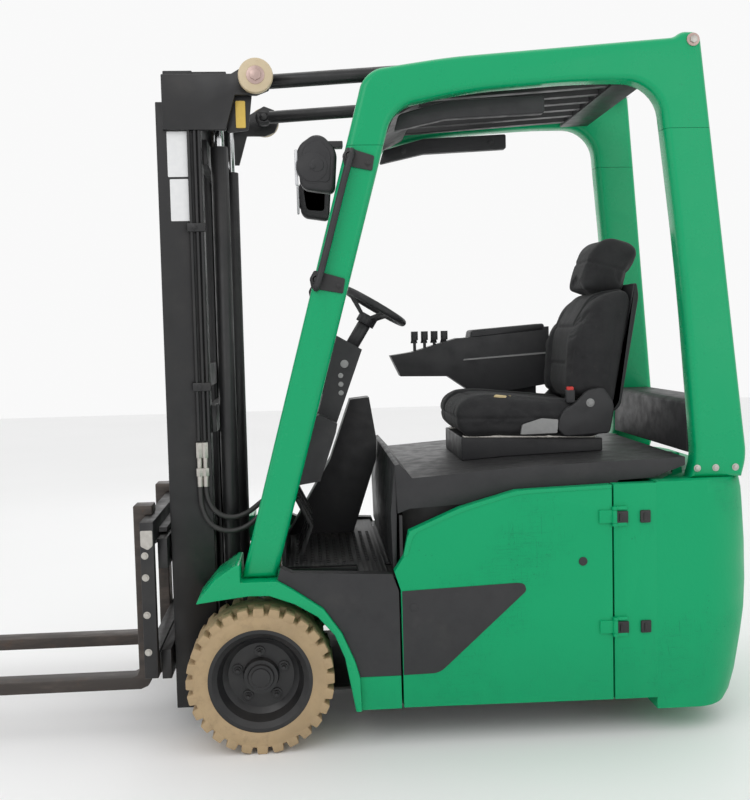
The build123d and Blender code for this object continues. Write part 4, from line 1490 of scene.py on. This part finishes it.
class FORKLIFT_OT_cab_trim(bpy.types.Operator):
    """Fits the armrest's pad, the dash's panels and switches and the mat's studs."""

    bl_idname = "forklift.cab_trim"
    bl_label = "Fit the cab's small parts"

    def execute(self, context):
        knobs = bmesh.new()
        for station in (590, 629, 667, 706):
            add_rod(knobs, spot(station, 326, 1250), spot(station, 326, 1268), 0.014, 0.010, rounding=0.002)
        piece("lever_boots", knobs, "black_plastic", "hood")
        rest = bmesh.new()
        add_plate(rest, [(800, 1262, 8), (806, 1296, 10), (1090, 1316, 10), (1094, 1284, 8)], 262, 390, 8)
        piece("armrest_pad", rest, "black_plastic", "hood")
        line = bmesh.new()
        add_plate(line, [(770, 1180, 6), (776, 1186, 4), (1106, 1206, 4), (1104, 1199, 4)], 259.5, 262, 0)
        piece("armrest_seam", line, "grey", "hood")

        panel = bmesh.new()
        add_plate(panel, [(214, 1092, 6), (262, 1268, 8), (276, 1264, 4), (226, 1086, 4)], -96, 96, 3)
        add_plate(panel, [(196, 820, 8), (250, 975, 10), (262, 968, 6), (206, 812, 6)], -160, 160, 4)
        piece("dash_panel", panel, "black_plastic", "chassis")
        stop = bmesh.new()
        add_rod(stop, spot(150, -202, 1004), spot(150, -226, 1010), 0.019, rounding=0.003)
        piece("stop_button", stop, "red", "chassis")
        key = bmesh.new()
        add_rod(key, spot(300, -118, 1190), spot(300, -124, 1190), 0.014, rounding=0.001)
        for height in (1150, 1120, 1090):
            add_rod(key, spot(286, -118, height), spot(286, -123, height), 0.009, rounding=0.001)
        piece("dash_switches", key, "grey", "chassis")
        mat = bmesh.new()
        for row in range(11):
            for column in range(20):
                place = spot(120 + 26 * row, -290 + 26 * column + 13 * (row % 2), 537.5)
                add_rod(mat, place, place + Vector((0, 0, 0.0035)), 0.006, segments=8)
        piece("mat_studs", mat, "floor_rubber", "chassis")
        steps = bmesh.new()
        add_plate(
            steps,
            [(424, 545, 4), (420, 726, 10), (436, 880, 8), (444, 880, 4), (440, 726, 4), (436, 545, 4)],
            -470,
            470,
            2,
        )
        piece("bay_front_cover", steps, "black_plastic", "chassis")
        return {"FINISHED"}


# Body


class FORKLIFT_OT_body_trim(bpy.types.Operator):
    """Fits the side inlays, latches, plugs and steps, and shapes the counterweight."""

    bl_idname = "forklift.body_trim"
    bl_label = "Fit the body's inlay, latches and plugs"

    def execute(self, context):
        for side, name in ((-1, "left"), (1, "right")):
            body = "battery_door" if side < 0 else "chassis"
            face = side * 522.0

            def near(distance):
                return sorted((face - side * 3, face + side * distance))

            inlay = bmesh.new()
            add_plate(
                inlay,
                [(446, 224, 3), (559, 226, 20), (838, 476, 8), (832, 498, 8), (810, 502, 6), (446, 490, 3)],
                *near(2.0),
                1,
            )
            piece(f"side_inlay_{name}", inlay, "black_plastic", body)
            lip = bmesh.new()
            add_plate(
                lip,
                [
                    (452, 598, 4), (470, 676, 20), (633, 745, 40), (812, 793, 40), (1112, 801, 2),
                    (1112, 790, 2), (815, 781, 40), (640, 733, 40), (486, 668, 20), (466, 600, 4),
                ],
                *near(1.6),
                0.8,
            )
            piece(f"door_edge_{name}", lip, "green_gloss", body)
            latches = bmesh.new()
            for height in (678, 326):
                for station, width in ((1124, 40), (1202, 34)):
                    add_box(
                        latches,
                        spot(station, face - side * 2, height),
                        spot(station + width, face + side * 7, height + 40),
                        0.004,
                    )
                    add_rod(
                        latches,
                        spot(station + 14, face + side * 7, height + 8),
                        spot(station + 14, face + side * 7, height + 32),
                        0.004,
                    )
            piece(f"door_latches_{name}", latches, "black_steel", "chassis")
            plug = bmesh.new()
            add_rod(
                plug,
                spot(1019, face - side * 1, 562),
                spot(1019, face + side * 3, 562),
                0.014,
                segments=32,
                rounding=0.002,
            )
            add_rod(
                plug,
                spot(482, face - side * 1, 438),
                spot(482, face + side * 3.5, 438),
                0.013,
                segments=32,
                rounding=0.001,
            )
            piece(f"door_plugs_{name}", plug, "black_plastic", body)

            panel = copy_of(f"step_{name}")
            lower = panel.copy()
            step = piece(
                f"step_panel_{name}",
                trimmed(panel, (0, 0, 0.2235), (0, 0, -1)),
                "black_plastic",
                "chassis",
            )
            sill = piece(
                f"step_sill_{name}",
                trimmed(lower, (0, 0, 0.2225), (0, 0, 1)),
                "green_scuffed",
                "chassis",
            )
            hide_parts(f"step_{name}")
            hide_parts(f"step_{name}")
        weight = copy_of("counterweight")
        for height in (0.1, 0.16, 0.277, 0.36, 0.452, 0.58, 0.712, 0.76):
            bmesh.ops.bisect_plane(
                weight, geom=[
                    *weight.verts,
                    *weight.edges,
                    *weight.faces,
                ], plane_co=(0, 0, height), plane_no=(0, 0, 1)
            )
        profile = (
            (0.077, 0.075),
            (0.1, 0.058),
            (0.16, 0.038),
            (0.277, 0.016),
            (0.36, 0.004),
            (0.452, 0.0),
            (0.58, 0.002),
            (0.712, 0.010),
            (0.76, 0.014),
            (0.806, 0.024),
        )
        for vert in weight.verts:
            reach = (vert.co.x - at(1400)) / 0.22
            if reach > 0 and vert.co.z < 0.81:
                for (low, first), (high, last) in zip(profile, profile[1:]):
                    if low - 0.001 <= vert.co.z <= high + 0.001:
                        share = (vert.co.z - low) / (high - low)
                        vert.co.x -= min(reach, 1.0) * (first + (last - first) * share)
                        vert.co.y *= 1 - min(reach, 1.0) * 0.25 * (first + (last - first) * share)
                        break
        made = piece("counterweight_casting", weight, "green_scuffed", "chassis")
        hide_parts("counterweight")
        return {"FINISHED"}


# Carriage and forks


class FORKLIFT_OT_carriage_trim(bpy.types.Operator):
    """Fits the bolts and end blocks of the side-shift frame."""

    bl_idname = "forklift.carriage_trim"
    bl_label = "Fit the carriage's bolts and blocks"

    def execute(self, context):
        plates = bmesh.new()
        for side in (-1, 1):
            for height in (300, 420, 540, 610):
                add_bolt(plates, spot(-356, side * 420, height), (0, side, 0), 0.008, 0.006)
            y_low, y_high = sorted((side * 421.5, side * 414))
            add_plate(
                plates,
                [(-368, 690, 4), (-368, 640, 4), (-346, 628, 4), (-330, 640, 4), (-330, 690, 4)],
                y_low,
                y_high,
                1,
            )
        for y in (-330, -110, 110, 330):
            add_box(plates, spot(-374, y - 16, 662), spot(-366, y + 16, 700), 0.002)
        piece("carriage_bolts", plates, "zinc", "fork_carrier")
        return {"FINISHED"}


# Stage


class FORKLIFT_OT_studio(bpy.types.Operator):
    """Lays the pale floor and sets the lights and the camera."""

    bl_idname = "forklift.studio"
    bl_label = "Floor, lights and camera"

    def execute(self, context):
        scene = context.scene
        view = settings().camera
        floor_mesh = bmesh.new()
        corners = [(-14, -10, 0), (14, -10, 0), (14, 14, 0), (-14, 14, 0)]
        floor_mesh.faces.new([floor_mesh.verts.new(c) for c in corners])
        data = bpy.data.meshes.new("floor")
        floor_mesh.to_mesh(data)
        floor_mesh.free()
        floor = bpy.data.objects.new("floor", data)
        scene.collection.objects.link(floor)
        look = Finish("floor")
        look.colour(look.noise(0.6, 2, 0.5).tint((0.86, 0.86, 0.86), (0.9, 0.9, 0.9)))
        look.rough(0.55)
        data.materials.append(look.material)

        world = bpy.data.worlds.new("studio")
        world.use_nodes = True
        world.node_tree.nodes["Background"].inputs["Color"].default_value = (1.0, 1.0, 1.0, 1.0)
        world.node_tree.nodes["Background"].inputs["Strength"].default_value = 0.95
        scene.world = world
        for name, place, aim, size, power in (
            ("key", (-2.6, -4.6, 4.6), (0.0, 0.0, 0.9), 3.2, 52),
            ("fill", (3.4, -4.2, 2.6), (0.3, 0.0, 0.8), 3.0, 16),
            ("top", (0.4, 0.8, 5.4), (0.2, 0.0, 0.6), 3.6, 30),
            ("back", (0.5, 4.6, 2.8), (0.2, 0.0, 1.2), 3.0, 14),
        ):
            lamp = bpy.data.lights.new(name, "AREA")
            lamp.shape = "SQUARE"
            lamp.size = size
            lamp.energy = power
            holder = bpy.data.objects.new(name, lamp)
            holder.location = place
            holder.rotation_euler = (Vector(aim) - Vector(place)).to_track_quat("-Z", "Y").to_euler()
            scene.collection.objects.link(holder)

        yaw, pitch, roll = (math.radians(v) for v in (view.yaw, view.pitch, view.roll))
        ahead = Vector((-math.sin(yaw) * math.cos(pitch), math.cos(yaw) * math.cos(pitch), math.sin(pitch)))
        right = Vector((math.cos(yaw), math.sin(yaw), 0.0))
        up = right.cross(ahead)
        right_rolled = right * math.cos(roll) + up * math.sin(roll)
        up_rolled = up * math.cos(roll) - right * math.sin(roll)
        turn = Matrix((right_rolled, up_rolled, -ahead)).transposed()
        lens = bpy.data.cameras.new("camera")
        lens.sensor_fit = "VERTICAL"
        lens.sensor_height = 36.0
        lens.lens = view.lens
        lens.clip_end = 60.0
        camera = bpy.data.objects.new("camera", lens)
        camera.matrix_world = Matrix.Translation(view.place) @ turn.to_4x4()
        scene.collection.objects.link(camera)
        scene.camera = camera
        scene.view_settings.view_transform = "Standard"
        return {"FINISHED"}


class FORKLIFT_PT_panel(bpy.types.Panel):
    """The truck's settings and steps, in the 3D view's sidebar."""

    bl_idname = "FORKLIFT_PT_panel"
    bl_label = "Forklift"
    bl_space_type = "VIEW_3D"
    bl_region_type = "UI"
    bl_category = "Forklift"

    def draw(self, context):
        truck = context.scene.truck
        for name in ("green", "black", "plastic", "tan", "cloth", "fork"):
            self.layout.prop(truck.paint, name)
        for name in ("guard", "body", "steel", "segments"):
            self.layout.prop(truck.edge, name)
        for step in STEPS:
            self.layout.operator(step.bl_idname)


STEPS = (
    FORKLIFT_OT_finishes,
    FORKLIFT_OT_guard,
    FORKLIFT_OT_guard_trim,
    FORKLIFT_OT_lamps,
    FORKLIFT_OT_tyres,
    FORKLIFT_OT_mast_trim,
    FORKLIFT_OT_hoses,
    FORKLIFT_OT_seat,
    FORKLIFT_OT_cab_trim,
    FORKLIFT_OT_body_trim,
    FORKLIFT_OT_carriage_trim,
    FORKLIFT_OT_studio,
)
CLASSES = (PaintSettings, EdgeSettings, CameraSettings, TruckSettings, *STEPS, FORKLIFT_PT_panel)


def register():
    for kind in CLASSES:
        bpy.utils.register_class(kind)
    bpy.types.Scene.truck = PointerProperty(type=TruckSettings)


def unregister():
    del bpy.types.Scene.truck
    for kind in reversed(CLASSES):
        bpy.utils.unregister_class(kind)


def main():
    register()
    for step in STEPS:
        group, action = step.bl_idname.split(".")
        getattr(getattr(bpy.ops, group), action)()


if __name__ == "__main__":
    main()
